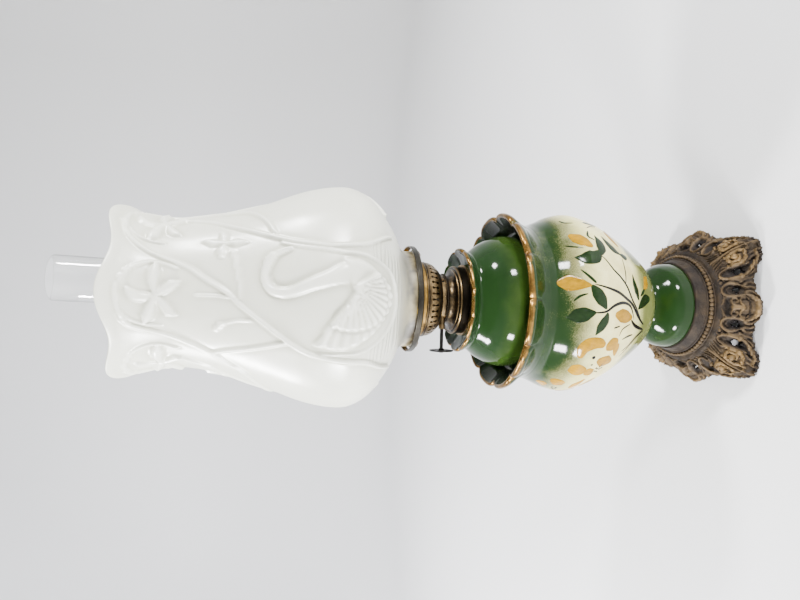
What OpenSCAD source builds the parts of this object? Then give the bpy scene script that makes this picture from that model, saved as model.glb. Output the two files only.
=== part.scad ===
// Table oil lamp: pierced cast foot, earthenware vase, drop-in font, round-wick burner,
// shade ring, pressed-glass shade and glass chimney.
// Origin: middle of the foot on the table. +Z up, front towards -Y, hand wheel towards -X.

/* [Base casting] */
// Half side of the square foot over its corners
base_half = 69; // [66:1:72]
// Reach of the shell in the middle of each side
base_lobe = 78; // [75:1:80]
// Height of the seat for the vase
base_h = 50; // [46:1:54]
// Wall of the casting
base_wall = 4; // [3:0.5:5]
// Height of the arch under the middle of each side
base_arch = 9; // [6:1:11]

/* [Vase] */
// Radius of the bell foot where it stands on the casting
foot_r = 42.6; // [41:0.1:43.5]
// Largest radius of the vase
vase_r = 85.6; // [84:0.1:87]
// Radius of the scalloped collar
collar_r = 83.6; // [82:0.1:85]
// Wall of the earthenware
clay = 5; // [4:0.5:6]
// Lobes round each scalloped collar
lobes = 12; // [8:1:16]
// Height of the ledge that the font rests on
ledge_z = 219; // [217:1:221]

/* [Font] */
// Radius of the font's dome
dome_r = 62; // [60:0.5:63]
// Radius of the scalloped collar on the font
font_collar_r = 48.6; // [47:0.1:50]
// Radius of the font's hole for the threaded collar
font_hole_r = 24.5; // [24:0.1:25.5]

/* [Burner] */
// Radius of the burner's flange
flange_r = 32; // [31:0.1:33]
// Largest radius of the pierced basket
basket_r = 34.7; // [34:0.1:35]
// Pairs of air holes round the basket
hole_pairs = 40; // [24:1:44]
// Outer radius of the wick
wick_r = 11; // [10.5:0.1:11.5]
// Thickness of the wick
wick_t = 1.8; // [1.4:0.1:2]
// Radius of the wick spindle
spindle_r = 1.6; // [1.4:0.1:1.8]
// Radius of the hand wheel
wheel_r = 11; // [9:0.5:13]
// Distance of the hand wheel from the lamp's axis
wheel_x = 46.6; // [44:0.1:52]

/* [Shade and chimney] */
// Outer radius of the shade ring
ring_r = 48.9; // [48.5:0.1:50]
// Outer radius of the shade's neck
neck_r = 44; // [43:0.1:44.5]
// Largest radius of the shade
shade_r = 96.4; // [94:0.1:98]
// Wall of the shade
shade_wall = 3; // [2.5:0.1:3.5]
// Height of the shade's lobed rim above the table
shade_top = 571; // [568:1:574]
// Outer radius of the chimney's base
chimney_base_r = 26.5; // [26:0.1:26.8]
// Outer radius of the chimney's tube
chimney_r = 19; // [18:0.1:20]
// Length of the chimney
chimney_len = 301.5; // [280:0.5:310]
// Wall of the chimney
chimney_wall = 1.6; // [1.4:0.1:2]
// Lean of the chimney in its prongs, towards +X
chimney_lean = 1.9; // [0:0.1:1.9]

/* [Hidden] */
$fn = 64;
play = 0.1;            // gap between faces that rest on each other and move apart
fit = 0.05;            // radial clearance of a running fit
rod_r = 3;             // tie rod
plate_t = 4;           // top plate of the casting, under the vase's foot
floor_z = 91;          // floor inside the vase
web_z = 83;            // top of the hollow under the bell foot
thread_r = 21.6;       // burner's male thread
collar_top = 279.4;    // top face of the font's collar
neck_z = 297.2;        // top of the burner's waist, where the basket starts
spindle_y = -14.4;     // the spindle runs in front of the wick
spindle_z = 294.1;
spur_r = 3.2;          // toothed wheels on the spindle
plate_z = 318.4;       // upper face of the chimney gallery
tray_z = 320;          // upper face of the shade ring's tray
ring_h = 5.4;          // height of the ring's band above the tray
clip_angle = 18;       // first shade clip, turned from +X

iron = "#6b5a45";
glaze = "#2f6b35";
cream = "#d9dcc0";
old_brass = "#9a8050";
dark_metal = "#4a463f";

// A smooth line through a short list of points: n steps to each next point (Catmull-Rom).
function span(a, b, c, d, t) =
    0.5 * (2 * b + (c - a) * t + (2 * a - 5 * b + 4 * c - d) * t * t
    + (3 * b - a - 3 * c + d) * t * t * t);
function smooth(p, n = 4) = [
    for (i = [0:len(p) - 2], k = [0:n - 1])
        span(p[max(i - 1, 0)], p[i], p[i + 1], p[min(i + 2, len(p) - 1)], k / n),
    p[len(p) - 1]];
// The same line moved inwards, square to itself.
function inset(p, w) = [
    for (i = [0:len(p) - 1])
        let (d = p[min(i + 1, len(p) - 1)] - p[max(i - 1, 0)])
        p[i] + w * [-d[1], d[0]] / norm(d)];
function flip(p) = [for (i = [len(p) - 1:-1:0]) p[i]];
// Part of a circle about c, from angle a0 to a1.
function arc(c, r, a0, a1, n = 6) = [
    for (i = [0:n]) let (a = a0 + (a1 - a0) * i / n) c + r * [cos(a), sin(a)]];

module turned(p) {
    rotate_extrude(angle = 360) polygon(p);
}

module ring(r_in, r_out, z0, z1) {
    difference() {
        translate([0, 0, z0]) cylinder(r = r_out, h = z1 - z0);
        translate([0, 0, z0 - 1]) cylinder(r = r_in, h = z1 - z0 + 2);
    }
}

module around(n, first = 0) {
    for (i = [0:n - 1]) rotate([0, 0, first + i * 360 / n]) children();
}

// ---------------------------------------------------------------- base casting

// Square skirt from the corner feet up to the round top.
module skirt(gap) {
    corner_r = 14;
    hull() {
        for (x = [-1, 1], y = [-1, 1])
            translate([x * (base_half - corner_r), y * (base_half - corner_r), gap > 0 ? -1 : 0])
                cylinder(r = corner_r - gap, h = 6, $fn = 32);
        translate([0, 0, 30 - gap]) cylinder(r = 55 - gap, h = 3, $fn = 32);
    }
}

// Shells in the middle of two opposite sides.
module side_shells(gap) {
    shell_r = 22;
    low = gap > 0 ? base_arch - 1 : base_arch;
    hull() {
        for (s = [-1, 1]) {
            translate([s * (base_lobe - shell_r), 0, low]) cylinder(r = shell_r - gap, h = 5, $fn = 32);
            translate([s * 36, 0, 28 - gap]) cylinder(r = 17 - gap, h = 3, $fn = 32);
        }
    }
}

module base_casting() {
    foot_at = base_half - 13;
    color(iron) {
        difference() {
            union() {
                skirt(0);
                side_shells(0);
                rotate([0, 0, 90]) side_shells(0);
            }
            skirt(base_wall);
            side_shells(base_wall);
            rotate([0, 0, 90]) side_shells(base_wall);
            cube([84, 400, 2 * base_arch], center = true);
            cube([400, 84, 2 * base_arch], center = true);
            for (x = [-36, -15.5, 15.5, 36], turn = [0, 90])
                rotate([0, 0, turn]) translate([x, 0, 17]) rotate([90, 0, 0])
                    cylinder(r = 3, h = 400, center = true);
            cylinder(r = 46, h = 60);
        }
        for (x = [-1, 1], y = [-1, 1])
            translate([x * foot_at, y * foot_at, 0]) cylinder(r = 8.5, h = 10);
        turned([[rod_r + 0.6, base_h - plate_t], [rod_r + 0.6, base_h], [foot_r + 1.2, base_h],
            [foot_r + 3.4, 48.2], [47.8, 42], [48.6, 39.6], [50.8, 39.2], [51.6, 37.4], [51.2, 35.4],
            [54, 34.6], [56, 31], [56, 27.5], [45.5, 27.5], [45.5, 33], [41, 43], [36, base_h - plate_t]]);
    }
}

module rod_washer() {
    color(dark_metal) ring(rod_r + 0.4, 12, base_h - plate_t - 2, base_h - plate_t);
}

module hex_nut(z0) {
    difference() {
        translate([0, 0, z0]) cylinder(r = 6.8, h = 5.5, $fn = 6);
        translate([0, 0, z0 - 1]) cylinder(r = rod_r + fit, h = 8);
    }
}

module rod_nut() {
    color(dark_metal) hex_nut(base_h - plate_t - 2 - 5.5);
}

module tie_rod() {
    color("silver") translate([0, 0, 34]) cylinder(r = rod_r, h = 70);
}

// ---------------------------------------------------------------- vase

module scallop_notches(r, z0, z1, cut, first) {
    around(lobes, first) translate([r, 0, z0]) cylinder(r = cut, h = z1 - z0, $fn = 24);
}

module vase_body() {
    bell = smooth([[foot_r, base_h], [foot_r, 54.5], [41.4, 60.5], [38, 66.6], [32.6, 72], [27.4, 76.4],
        [25.2, 80]]);
    body = smooth([[25.2, 80], [28.6, 83.4], [44.7, 96], [57.1, 112], [68.2, 130], [77, 146],
        [vase_r - 2.4, 163], [vase_r, 176], [vase_r - 2.8, 188], [77.6, 199], [73.8, 209], [73.4, 216]]);
    collar = smooth([[73.4, 216], [75.4, 223], [79.4, 230], [collar_r, 236], [collar_r + 0.2, 238.4],
        [collar_r - 2, 239.4], [76, 235.5], [70, 230], [67, 225]], 3);
    inside = flip(inset(body, clay));
    cavity = [for (p = inside) if (p[1] < 206 && p[1] > 96) p];
    under = smooth([[rod_r + 0.6, web_z], [13, 81.8], [20, 77.2], [27.4, 71], [33.4, 64.4], [36.6, 57],
        [37.2, base_h]], 3);
    color(cream) difference() {
        turned(concat(bell, body, collar, [[67, ledge_z], [56, ledge_z], [56, ledge_z - 4]], cavity,
            [[26, floor_z + 0.6], [rod_r + 0.6, floor_z]], under));
        scallop_notches(collar_r + 1.5, 232, 242, 3, 2 - 90);
    }
}

module floor_washer() {
    color("tan") ring(rod_r + 0.4, 12, floor_z + 0.6, floor_z + 3);
}

module floor_nut() {
    color(dark_metal) hex_nut(floor_z + 3);
}

// ---------------------------------------------------------------- font

module font() {
    bowl = smooth([[30, 152], [42, 155], [50.5, 163], [54, 174], [54.5, 186]]);
    dome = smooth([[60.5, 229], [dome_r, 233.5], [dome_r - 0.2, 238], [58.4, 247.4], [53.6, 256],
        [46.8, 264.4], [45, 267.8], [46.4, 271], [font_collar_r, 274], [font_collar_r, 276],
        [font_collar_r - 2, 276.6], [42, 273.6], [36, 271.2]], 3);
    hollow = smooth([[font_hole_r, 265], [38, 261.5], [49, 251.5], [56.6, 238], [55.4, 227], [49.6, 214],
        [49.6, 186], [47.6, 173], [41, 161.5], [28, 157.4]], 3);
    color(glaze) difference() {
        turned(concat([[0, 152]], bowl, [[54.5, ledge_z + play], [60.5, ledge_z + play]], dome,
            [[font_hole_r, 271.2]], hollow, [[0, 157.4]]));
        scallop_notches(font_collar_r + 1, 270, 279, 2.2, 12 - 90);
    }
}

module collar_cement() {
    color("ivory") ring(23.4, font_hole_r, 265, 271);
}

module collar_trim() {
    color(old_brass) ring(23.5, 33.4, 271.2, 272.6);
}

module font_collar() {
    color(dark_metal) turned([[thread_r + 0.2, 263], [23.4, 263], [23.4, 277.8], [29.8, 277.8],
        [29.8, 272.7], [31.3, 272.7], [31.3, collar_top], [thread_r + 0.2, collar_top]]);
}

// ---------------------------------------------------------------- burner

module burner_base() {
    low = collar_top + play;
    roll = 1.3;
    rolled_edge = arc([flange_r - roll, low + roll], roll, -90, 90);
    step = arc([27.9, 282.7], 0.9, -40, 110, 5);
    waist = smooth([[26.6, 283.8], [24.8, 284.4], [23.2, 285.8], [22.5, 288], [22.6, 289.5]], 3);
    bead = arc([22.9, 290.9], 1.2, -80, 80, 5);
    color(old_brass) difference() {
        turned(concat([[thread_r, 266], [thread_r, low]], rolled_edge, [[29.6, low + 2.2]], step, waist,
            bead, [[22.6, 292.6], [22.6, neck_z], [21.4, neck_z], [21.4, 286], [20.2, 282.6],
            [12.15, 282.6], [12.15, 281.2], [20.2, 281.2], [20.2, 266]]));
        translate([-30, spindle_y, spindle_z]) rotate([0, 90, 0]) cylinder(r = 2.6, h = 30);
        translate([0, spindle_y, spindle_z]) rotate([0, 90, 0]) cylinder(r = spindle_r + fit, h = 30);
    }
}

module burner_basket() {
    hole_z = [303.4, 307.8];
    bowl = smooth([[27.6, neck_z], [29.8, 299.4], [32.2, 302.4], [33.8, 305.8], [basket_r - 0.3, 309.2]], 3);
    beads = [for (z = [310.4, 312.6]) each arc([basket_r - 0.5, z], 0.7, -75, 75, 4)];
    color(old_brass) difference() {
        turned(concat([[22.7, neck_z + 0.8], [22.7, neck_z]], bowl, beads,
            [[basket_r, 313.8], [basket_r, plate_z - 1.1], [basket_r - 0.8, plate_z - 1.1],
            [basket_r - 1.1, 309.2]], flip(inset(bowl, 0.8)), [[27, neck_z + 0.8]]));
        around(hole_pairs, -90) {
            for (z = hole_z)
                translate([28, 0, z]) rotate([0, 90, 0]) cylinder(r = 1.25, h = 12, $fn = 16);
            translate([28, -0.55, hole_z[0]]) cube([12, 1.1, hole_z[1] - hole_z[0]]);
        }
    }
}

module chimney_gallery() {
    prong_h = 12;
    color(old_brass) difference() {
        union() {
            ring(12.15, basket_r, plate_z - 1, plate_z);
            ring(27.1, 27.8, plate_z - 0.5, plate_z + prong_h);
        }
        around(16) translate([27.5, 0, plate_z + 3]) cube([4, 2.4, 40], center = false);
        around(24) translate([20, 0, plate_z - 3]) cylinder(r = 1.4, h = 5, $fn = 16);
        around(36) translate([31.2, 0, plate_z - 3]) cylinder(r = 1.2, h = 5, $fn = 16);
    }
}

module wick_tube_outer() {
    color(old_brass) difference() {
        ring(wick_r + 0.3, wick_r + 1.1, 268, plate_z + 2);
        translate([-5, -20, spindle_z - 5]) cube([10, 12, 10]);
        translate([-4, 5, 285]) cube([8, 10, 14]);
    }
}

module wick_tube_inner() {
    r = wick_r - wick_t - 0.3;
    color(old_brass) {
        difference() {
            union() {
                ring(r - 0.8, r, 262, plate_z + 1.6);
                translate([0, 0, 262]) cylinder(r = r, h = 1);
            }
            translate([-4, 5, 285]) cube([8, 10, 14]);
        }
        for (z = [268, 301])
            translate([-1.5, r - 0.4, z]) cube([3, wick_r + 0.5 - r, 12]);
    }
}

module spindle_gland() {
    color(old_brass) translate([0, spindle_y, spindle_z]) rotate([0, -90, 0]) difference() {
        union() {
            translate([0, 0, 14.5]) cylinder(r = 2.6, h = 10);
            translate([0, 0, 22.6]) cylinder(r = 2.9, h = 4.2);
        }
        translate([0, 0, 10]) cylinder(r = spindle_r + fit, h = 20);
    }
}

module wick_spindle() {
    color(dark_metal) translate([-wheel_x - 1.4, spindle_y, spindle_z]) rotate([0, 90, 0])
        cylinder(r = spindle_r, h = wheel_x + 1.4 + 17);
}

module spur_wheels() {
    teeth = 12;
    star = [for (i = [0:2 * teeth - 1]) let (a = i * 180 / teeth, r = i % 2 == 0 ? spur_r : spur_r - 0.7)
        [r * cos(a), r * sin(a)]];
    color("silver") for (x = [-3.4, 2.2])
        translate([x, spindle_y, spindle_z]) rotate([0, 90, 0]) linear_extrude(1.2) difference() {
            polygon(star);
            circle(r = spindle_r);
        }
}

module hand_wheel() {
    rim = arc([wheel_r - 0.7, 0], 0.7, -130, 130, 8);
    side = [[wheel_r - 1.7, 0.4], [3, 0.4], [2.4, 1], [2.3, 2.2], [spindle_r, 2.2]];
    other_side = [[0, -1.4], [0, -2], [1.8, -2], [2.4, -1], [3, -0.4], [wheel_r - 1.7, -0.4]];
    color(dark_metal) translate([-wheel_x, spindle_y, spindle_z]) rotate([0, 90, 0]) difference() {
        turned(concat(rim, side, [[spindle_r, -1.4]], other_side));
        around(6) translate([6.6, 0, -5]) cylinder(r = 1.6, h = 10);
    }
}

module wick() {
    tail_w = 24;
    color("white") {
        difference() {
            ring(wick_r - wick_t, wick_r, 256, 322);
            translate([-6, 2, 250]) cube([12, 20, 80]);
        }
        translate([-tail_w / 2, -wick_r, 175]) cube([tail_w, wick_t, 82]);
    }
}

// ---------------------------------------------------------------- shade ring, shade, chimney

module shade_ring() {
    inner = basket_r + 0.1;
    inside = ring_r - 1.2;
    corner = 1.6;
    color(dark_metal) {
        turned(concat(arc([ring_r - corner, tray_z + corner - 0.2], corner, -70, 0, 4),
            arc([ring_r - 0.6, tray_z + ring_h - 0.6], 0.6, 0, 180, 6), [[inside, tray_z + corner]],
            [[inside - 0.4, tray_z + 0.5]]));
        turned([[inner, 314], [inner + 1, 314], [inner + 1, tray_z - 1], [45.6, tray_z - 1],
            [45.6, tray_z], [inner, tray_z]]);
        around(6, 30) translate([45, -4, tray_z - 1]) cube([ring_r - 1.6 - 45, 8, 1.6]);
    }
}

// Springy strips inside the band: up from the rivet, then over towards the shade's neck.
module shade_clips() {
    back = ring_r - 1.35;
    color("gold") around(3, clip_angle) rotate([90, 0, 0]) translate([0, 0, -3]) linear_extrude(6)
        polygon([[back, 321.7], [back, 324.2], [back - 0.8, 325.2], [back - 2, 324.8], [back - 2.8, 322.2],
            [back - 2.3, 322], [back - 1.6, 324], [back - 0.9, 324], [back - 0.6, 323.2],
            [back - 0.6, 321.7]]);
}

module clip_rivets() {
    face = ring_r - 1.35 - 0.6;
    color(old_brass) around(3, clip_angle) translate([face, 0, 322.5]) rotate([0, -90, 0])
        cylinder(r = 0.7, h = 0.6);
}

module shade() {
    low = tray_z + play;
    outer = concat([[neck_r, low]], smooth([[neck_r, 332], [49.5, 336.4], [68.5, 347], [86.8, 363],
        [shade_r - 1, 380], [shade_r - 0.4, 397], [90.6, 420], [78.8, 452], [68, 488], [62.8, 522],
        [65.8, 550], [73.6, shade_top]], 5));
    dip = 72;
    color("whitesmoke") difference() {
        turned(concat(outer, flip(inset(outer, shade_wall - 0.6))));
        around(6, 0) translate([0, 0, shade_top - 9 + dip]) rotate([0, 90, 0]) cylinder(r = dip, h = 90);
    }
}

module chimney() {
    lift = chimney_base_r * sin(chimney_lean) + play;
    outer = concat([[chimney_base_r, 0]], smooth([[chimney_base_r, 38], [25.4, 45], [20.6, 54],
        [chimney_r, 62]], 4), [[chimney_r, chimney_len]]);
    color("lightcyan") translate([0, 0, plate_z + lift]) rotate([0, chimney_lean, 0])
        turned(concat(outer, [[chimney_r - chimney_wall, chimney_len], [chimney_r - chimney_wall, 62.5]],
            flip(smooth([[chimney_base_r - chimney_wall, 37.5], [23.9, 44.2], [19.2, 53.4]], 4)),
            [[chimney_base_r - chimney_wall, 0]]));
}

base_casting();
rod_washer();
rod_nut();
tie_rod();
vase_body();
floor_washer();
floor_nut();
font();
collar_cement();
collar_trim();
font_collar();
burner_base();
burner_basket();
chimney_gallery();
wick_tube_outer();
wick_tube_inner();
spindle_gland();
shade_ring();
shade_clips();
clip_rivets();
wick_spindle();
spur_wheels();
hand_wheel();
wick();
shade();
chimney();
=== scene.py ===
import math
import bmesh
import bpy
import numpy as np
from mathutils import Matrix, Vector


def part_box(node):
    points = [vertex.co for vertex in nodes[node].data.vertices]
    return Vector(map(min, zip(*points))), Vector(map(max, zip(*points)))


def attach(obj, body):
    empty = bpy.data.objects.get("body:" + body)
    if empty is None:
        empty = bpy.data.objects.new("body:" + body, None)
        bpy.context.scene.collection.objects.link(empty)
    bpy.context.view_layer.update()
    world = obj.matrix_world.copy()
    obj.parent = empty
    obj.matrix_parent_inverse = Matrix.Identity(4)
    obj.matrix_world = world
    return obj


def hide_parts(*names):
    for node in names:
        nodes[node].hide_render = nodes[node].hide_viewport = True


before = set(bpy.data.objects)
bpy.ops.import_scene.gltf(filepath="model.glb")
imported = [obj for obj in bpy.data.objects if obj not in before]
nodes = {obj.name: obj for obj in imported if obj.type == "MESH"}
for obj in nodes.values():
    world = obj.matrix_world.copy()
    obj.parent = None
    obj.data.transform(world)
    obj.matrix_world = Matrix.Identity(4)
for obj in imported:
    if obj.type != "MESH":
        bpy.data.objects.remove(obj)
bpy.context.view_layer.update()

# ------------------------------------------------------------------ studio
# A pale paper sweep all round, two low softboxes before the lamp and two high ones at its sides, and the
# camera. The paper is painted greyer towards +X, as painted shade where the light falls off. The camera
# lies on its side: the lamp's top points left.

MM = 0.001
SWEEP_R = 2600
SWEEP_CURVE = 900
SWEEP_H = 2600
CAMERA_AT = (0.0, -505.0, 440.0)
CAMERA_LENS = 25.08
LOOK_DOWN = math.radians(12.21)
LOOK_ASIDE = math.radians(0.15)
LAMP_LEAN = math.radians(1.43)
LOW_AIM = (0, 0, 300)
HIGH_AIM = (0, 0, 350)


def tint(red, green, blue):
    """A colour given as it looks on paper, 0 to 255, turned into linear light."""
    c = np.array([red, green, blue]) / 255
    linear = np.where(c <= 0.04045, c / 12.92, ((c + 0.055) / 1.055) ** 2.4)
    return (*(float(v) for v in linear), 1.0)


class Finish:
    """A material being made: each method adds one node and returns the socket that carries its result."""

    def __init__(self, name, **sockets):
        self.material = bpy.data.materials.new(name)
        self.material.use_nodes = True
        self.tree = self.material.node_tree
        self.shader = self.tree.nodes["Principled BSDF"]
        self.set(**sockets)

    def plug(self, socket, value):
        if isinstance(value, bpy.types.NodeSocket):
            self.tree.links.new(value, socket)
        else:
            socket.default_value = value

    def set(self, **sockets):
        for name, value in sockets.items():
            self.plug(self.shader.inputs[name.replace("_", " ")], value)

    def node(self, kind, inputs, **settings):
        made = self.tree.nodes.new("ShaderNode" + kind)
        for name, value in settings.items():
            setattr(made, name, value)
        for key, value in inputs.items():
            self.plug(made.inputs[key], value)
        return made

    def place(self, stretch=(1, 1, 1)):
        where = self.node("TexCoord", {}).outputs["Object"]
        return self.node("Mapping", {"Vector": where, "Scale": stretch}).outputs[0]

    def axis(self, name):
        return self.node("SeparateXYZ", {0: self.place()}).outputs[name]

    def noise(self, scale, detail=4.0, rough=0.55, stretch=(1, 1, 1), distort=0.0):
        inputs = {"Vector": self.place(stretch), "Scale": scale, "Detail": detail, "Roughness": rough,
                  "Distortion": distort}
        return self.node("TexNoise", inputs).outputs[0]

    def spots(self, scale, randomness=1.0):
        inputs = {"Vector": self.place(), "Scale": scale, "Randomness": randomness}
        return self.node("TexVoronoi", inputs).outputs["Distance"]

    def attribute(self, name):
        return self.node("Attribute", {}, attribute_name=name).outputs["Fac"]

    def math(self, operation, a, b=0.0):
        return self.node("Math", {0: a, 1: b}, operation=operation).outputs[0]

    def remap(self, value, low, high, to_low=0.0, to_high=1.0):
        inputs = {"Value": value, "From Min": low, "From Max": high, "To Min": to_low, "To Max": to_high}
        return self.node("MapRange", inputs).outputs[0]

    def mix(self, factor, a, b):
        inputs = {"Factor": factor, 6: a, 7: b}
        return self.node("Mix", inputs, data_type="RGBA").outputs[2]

    def ramp(self, value, *stops):
        made = self.node("ValToRGB", {"Fac": value})
        bar = made.color_ramp.elements
        while len(bar) < len(stops):
            bar.new(0.5)
        for element, (position, colour) in zip(bar, stops):
            element.position = position
            element.color = colour
        return made.outputs[0]

    def bump(self, height, distance, strength=1.0, normal=None):
        inputs = {"Height": height, "Distance": distance, "Strength": strength}
        if normal:
            inputs["Normal"] = normal
        return self.node("Bump", inputs).outputs[0]

    def put(self, thing):
        thing.data.materials.clear()
        thing.data.materials.append(self.material)


def smooth_line(points, steps=6):
    """A Catmull-Rom curve through the points, with the given number of steps between neighbours."""
    p = np.array(points, float)
    b, c = p[:-1, None], p[1:, None]
    a = np.concatenate([p[:1], p[:-2]])[:, None]
    d = np.concatenate([p[2:], p[-1:]])[:, None]
    t = (np.arange(steps) / steps)[None, :, None]
    curve = 0.5 * (2 * b + (c - a) * t + (2 * a - 5 * b + 4 * c - d) * t ** 2
                   + (3 * b - a - 3 * c + d) * t ** 3)
    return np.concatenate([curve.reshape(-1, p.shape[1]), p[-1:]])


def arc(centre, radius, start, end, steps=6):
    """Points on a circle about centre, from one angle to the other in degrees."""
    a = np.radians(np.linspace(start, end, steps + 1))
    return np.stack([centre[0] + radius * np.cos(a), centre[1] + radius * np.sin(a)], -1)


def grid_faces(rows, columns, across=False):
    """Quads of a grid whose last column joins the first, and whose last row joins the first if asked."""
    i, j = np.meshgrid(np.arange(rows if across else rows - 1), np.arange(columns), indexing="ij")
    up = (i + 1) % rows
    on = (j + 1) % columns
    corners = [i * columns + j, i * columns + on, up * columns + on, up * columns + j]
    return np.stack(corners, -1).reshape(-1, 4)


def skin(name, points, faces, sharp=None):
    """Points in millimetres and quads made into one object at the origin. Edges bent by more than sharp,
    in degrees, aren't smoothed over."""
    mesh = bpy.data.meshes.new(name)
    mesh.from_pydata((points.reshape(-1, 3) * MM).tolist(), [], faces.tolist())
    mesh.shade_smooth()
    thing = bpy.data.objects.new(name, mesh)
    bpy.context.scene.collection.objects.link(thing)
    if sharp:
        mesh.set_sharp_from_angle(angle=math.radians(sharp))
    return thing


def weld(thing):
    """Merges points that coincide, so that poles are closed."""
    work = bmesh.new()
    work.from_mesh(thing.data)
    bmesh.ops.remove_doubles(work, verts=work.verts, dist=1e-6)
    bmesh.ops.dissolve_degenerate(work, edges=work.edges, dist=1e-7)
    work.to_mesh(thing.data)
    work.free()


def around(radius, height, azimuth):
    """Points at a radius, height and azimuth: azimuth 0 is the front, and it grows towards +X."""
    a = np.radians(azimuth)
    r, z, a = np.broadcast_arrays(radius, height, a)
    return np.stack([r * np.sin(a), -r * np.cos(a), z], -1)


def turned(name, outline, sides=160, closed=True, sharp=35):
    """An outline of (radius, height) points, outside upwards, carried round the lamp's axis."""
    outline = np.array(outline, float)
    azimuth = np.arange(sides) * 360 / sides
    points = around(outline[:, :1], outline[:, 1:], azimuth[None, :])
    thing = skin(name, points, grid_faces(len(outline), sides, closed), sharp)
    weld(thing)
    return thing


def settle(thing, body, slot, *replaced):
    """A finished piece rides on its body and hides the CAD nodes it stands for. The slot is not used."""
    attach(thing, body)
    if replaced:
        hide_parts(*replaced)


def softbox(name, place, aim, size, power):
    """A rectangular light that the camera doesn't see, from a place towards an aim, in millimetres."""
    lamp = bpy.data.lights.new(name, "AREA")
    lamp.shape = "RECTANGLE"
    lamp.size, lamp.size_y = size[0] * MM, size[1] * MM
    lamp.energy = power
    thing = bpy.data.objects.new(name, lamp)
    towards = (Vector(aim) - Vector(place)) * MM
    thing.rotation_euler = towards.to_track_quat("-Z", "Y").to_euler()
    thing.location = Vector(place) * MM
    thing.visible_camera = False
    bpy.context.scene.collection.objects.link(thing)


sweep_line = np.concatenate([arc((SWEEP_R - SWEEP_CURVE, SWEEP_CURVE), SWEEP_CURVE, 0, -90, 16),
                             [(SWEEP_R / 4, 0), (SWEEP_R / 16, 0), (0, 0)]])
sweep = turned("paper_sweep", np.concatenate([[(SWEEP_R, SWEEP_H)], sweep_line]), 96, False, None)
paper = Finish("pale_paper", Roughness=0.75)
fibre = paper.noise(3.0, 6.0, 0.6)
# Painted shade: the paper's colour is mixed towards grey along +X.
side = paper.remap(paper.axis("X"), -1.2, 1.1)
near_white = paper.mix(fibre, tint(236, 237, 240), tint(242, 242, 244))
paper.set(Base_Color=paper.mix(side, near_white, tint(196, 196, 196)))
paper.set(Normal=paper.bump(paper.noise(160.0, 3.0), 0.0004, 0.3))
paper.put(sweep)

softbox("left_softbox", (-1400, -760, 420), LOW_AIM, (240, 270), 74)
softbox("right_softbox", (1150, -980, 450), LOW_AIM, (220, 220), 44)
softbox("high_left_softbox", (-1480, 180, 1150), HIGH_AIM, (300, 260), 80)
softbox("high_right_softbox", (1430, -300, 1150), HIGH_AIM, (240, 240), 54)

sky = bpy.data.worlds.new("studio_air")
sky.use_nodes = True
sky.node_tree.nodes["Background"].inputs["Color"].default_value = (0.97, 0.985, 1.0, 1.0)
sky.node_tree.nodes["Background"].inputs["Strength"].default_value = 0.5
bpy.context.scene.world = sky

lens = bpy.data.cameras.new("camera")
lens.lens = CAMERA_LENS
lens.sensor_width = 36
lens.sensor_fit = "HORIZONTAL"
lens.clip_start = 0.01
lens.clip_end = 20
camera = bpy.data.objects.new("camera", lens)
forward = Vector((-math.sin(LOOK_ASIDE) * math.cos(LOOK_DOWN), math.cos(LOOK_ASIDE) * math.cos(LOOK_DOWN),
                  -math.sin(LOOK_DOWN)))
level = forward.cross(Vector((0, 0, 1))).normalized()
upright = level.cross(forward)
lean_up = upright * math.cos(LAMP_LEAN) - level * math.sin(LAMP_LEAN)
lean_right = level * math.cos(LAMP_LEAN) + upright * math.sin(LAMP_LEAN)
turn = Matrix((-lean_up, lean_right, -forward)).transposed()
camera.matrix_world = Matrix.Translation(Vector(CAMERA_AT) * MM) @ turn.to_4x4()
bpy.context.scene.collection.objects.link(camera)
bpy.context.scene.camera = camera

# ------------------------------------------------------------------ base casting
# The square foot is thin cast metal, browned, with its high spots rubbed golden. Its skirt is pierced
# scrollwork, alike on all four sides and mirrored about the middle of each, so it is drawn once on half
# a side: across runs from the middle of the side to the corner, down from the smooth band to the edge.

SIDE = 62.0
SKIRT = 42.0
SKIRT_COLUMNS = 60
SKIRT_ROWS = 84
CASTING_WALL = 2.4
CORNER_HALF = 69.0
MIDDLE_REACH = 9.0
MIDDLE_RAISED = 9.0
BAND_R = 54.4
BAND_Z = 33.2
SEAT_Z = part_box("base_casting")[1].z / MM


def stretches(x, y, points, scale):
    """For each straight stretch of a line in turn: every place's distance from it, and how far along it
    the nearest spot is, from 0 to 1."""
    for (x0, y0), (x1, y1) in zip(points[:-1], points[1:]):
        dx, dy = (x1 - x0) * scale, y1 - y0
        px, py = (x - x0) * scale, y - y0
        t = np.clip((px * dx + py * dy) / np.maximum(dx * dx + dy * dy, 1e-9), 0, 1)
        yield np.hypot(px - t * dx, py - t * dy), t


def bar(x, y, points, widths, height, scale=1.0, crisp=1.0):
    """Height of a rounded bar laid along a line. At each place it takes the nearest spot on each straight
    stretch, and falls from the full height there to nothing at the half width, as (1 - distance squared)
    to the power crisp. scale stretches x, where x isn't in millimetres."""
    p = np.array(points, float)
    w = np.interp(np.linspace(0, 1, len(p)), np.linspace(0, 1, len(widths)), widths)
    result = np.zeros(np.broadcast(x, y).shape)
    for (gap, t), w0, w1 in zip(stretches(x, y, p, scale), w[:-1], w[1:]):
        gap = gap / (w0 + t * (w1 - w0))
        result = np.maximum(result, np.clip(1 - gap * gap, 0, 1) ** crisp)
    return height * result


def ease(value, low, high):
    """A smooth step from 0 at low to 1 at high."""
    t = np.clip((value - low) / (high - low), 0, 1)
    return t * t * (3 - 2 * t)


def spiral(centre, start_r, end_r, start, end, steps=28):
    """Points of a spiral about centre, from one radius and angle to the other."""
    a = np.radians(np.linspace(start, end, steps))
    r = np.linspace(start_r, end_r, steps)
    return np.stack([centre[0] + r * np.cos(a), centre[1] + r * np.sin(a)], -1)


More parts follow.
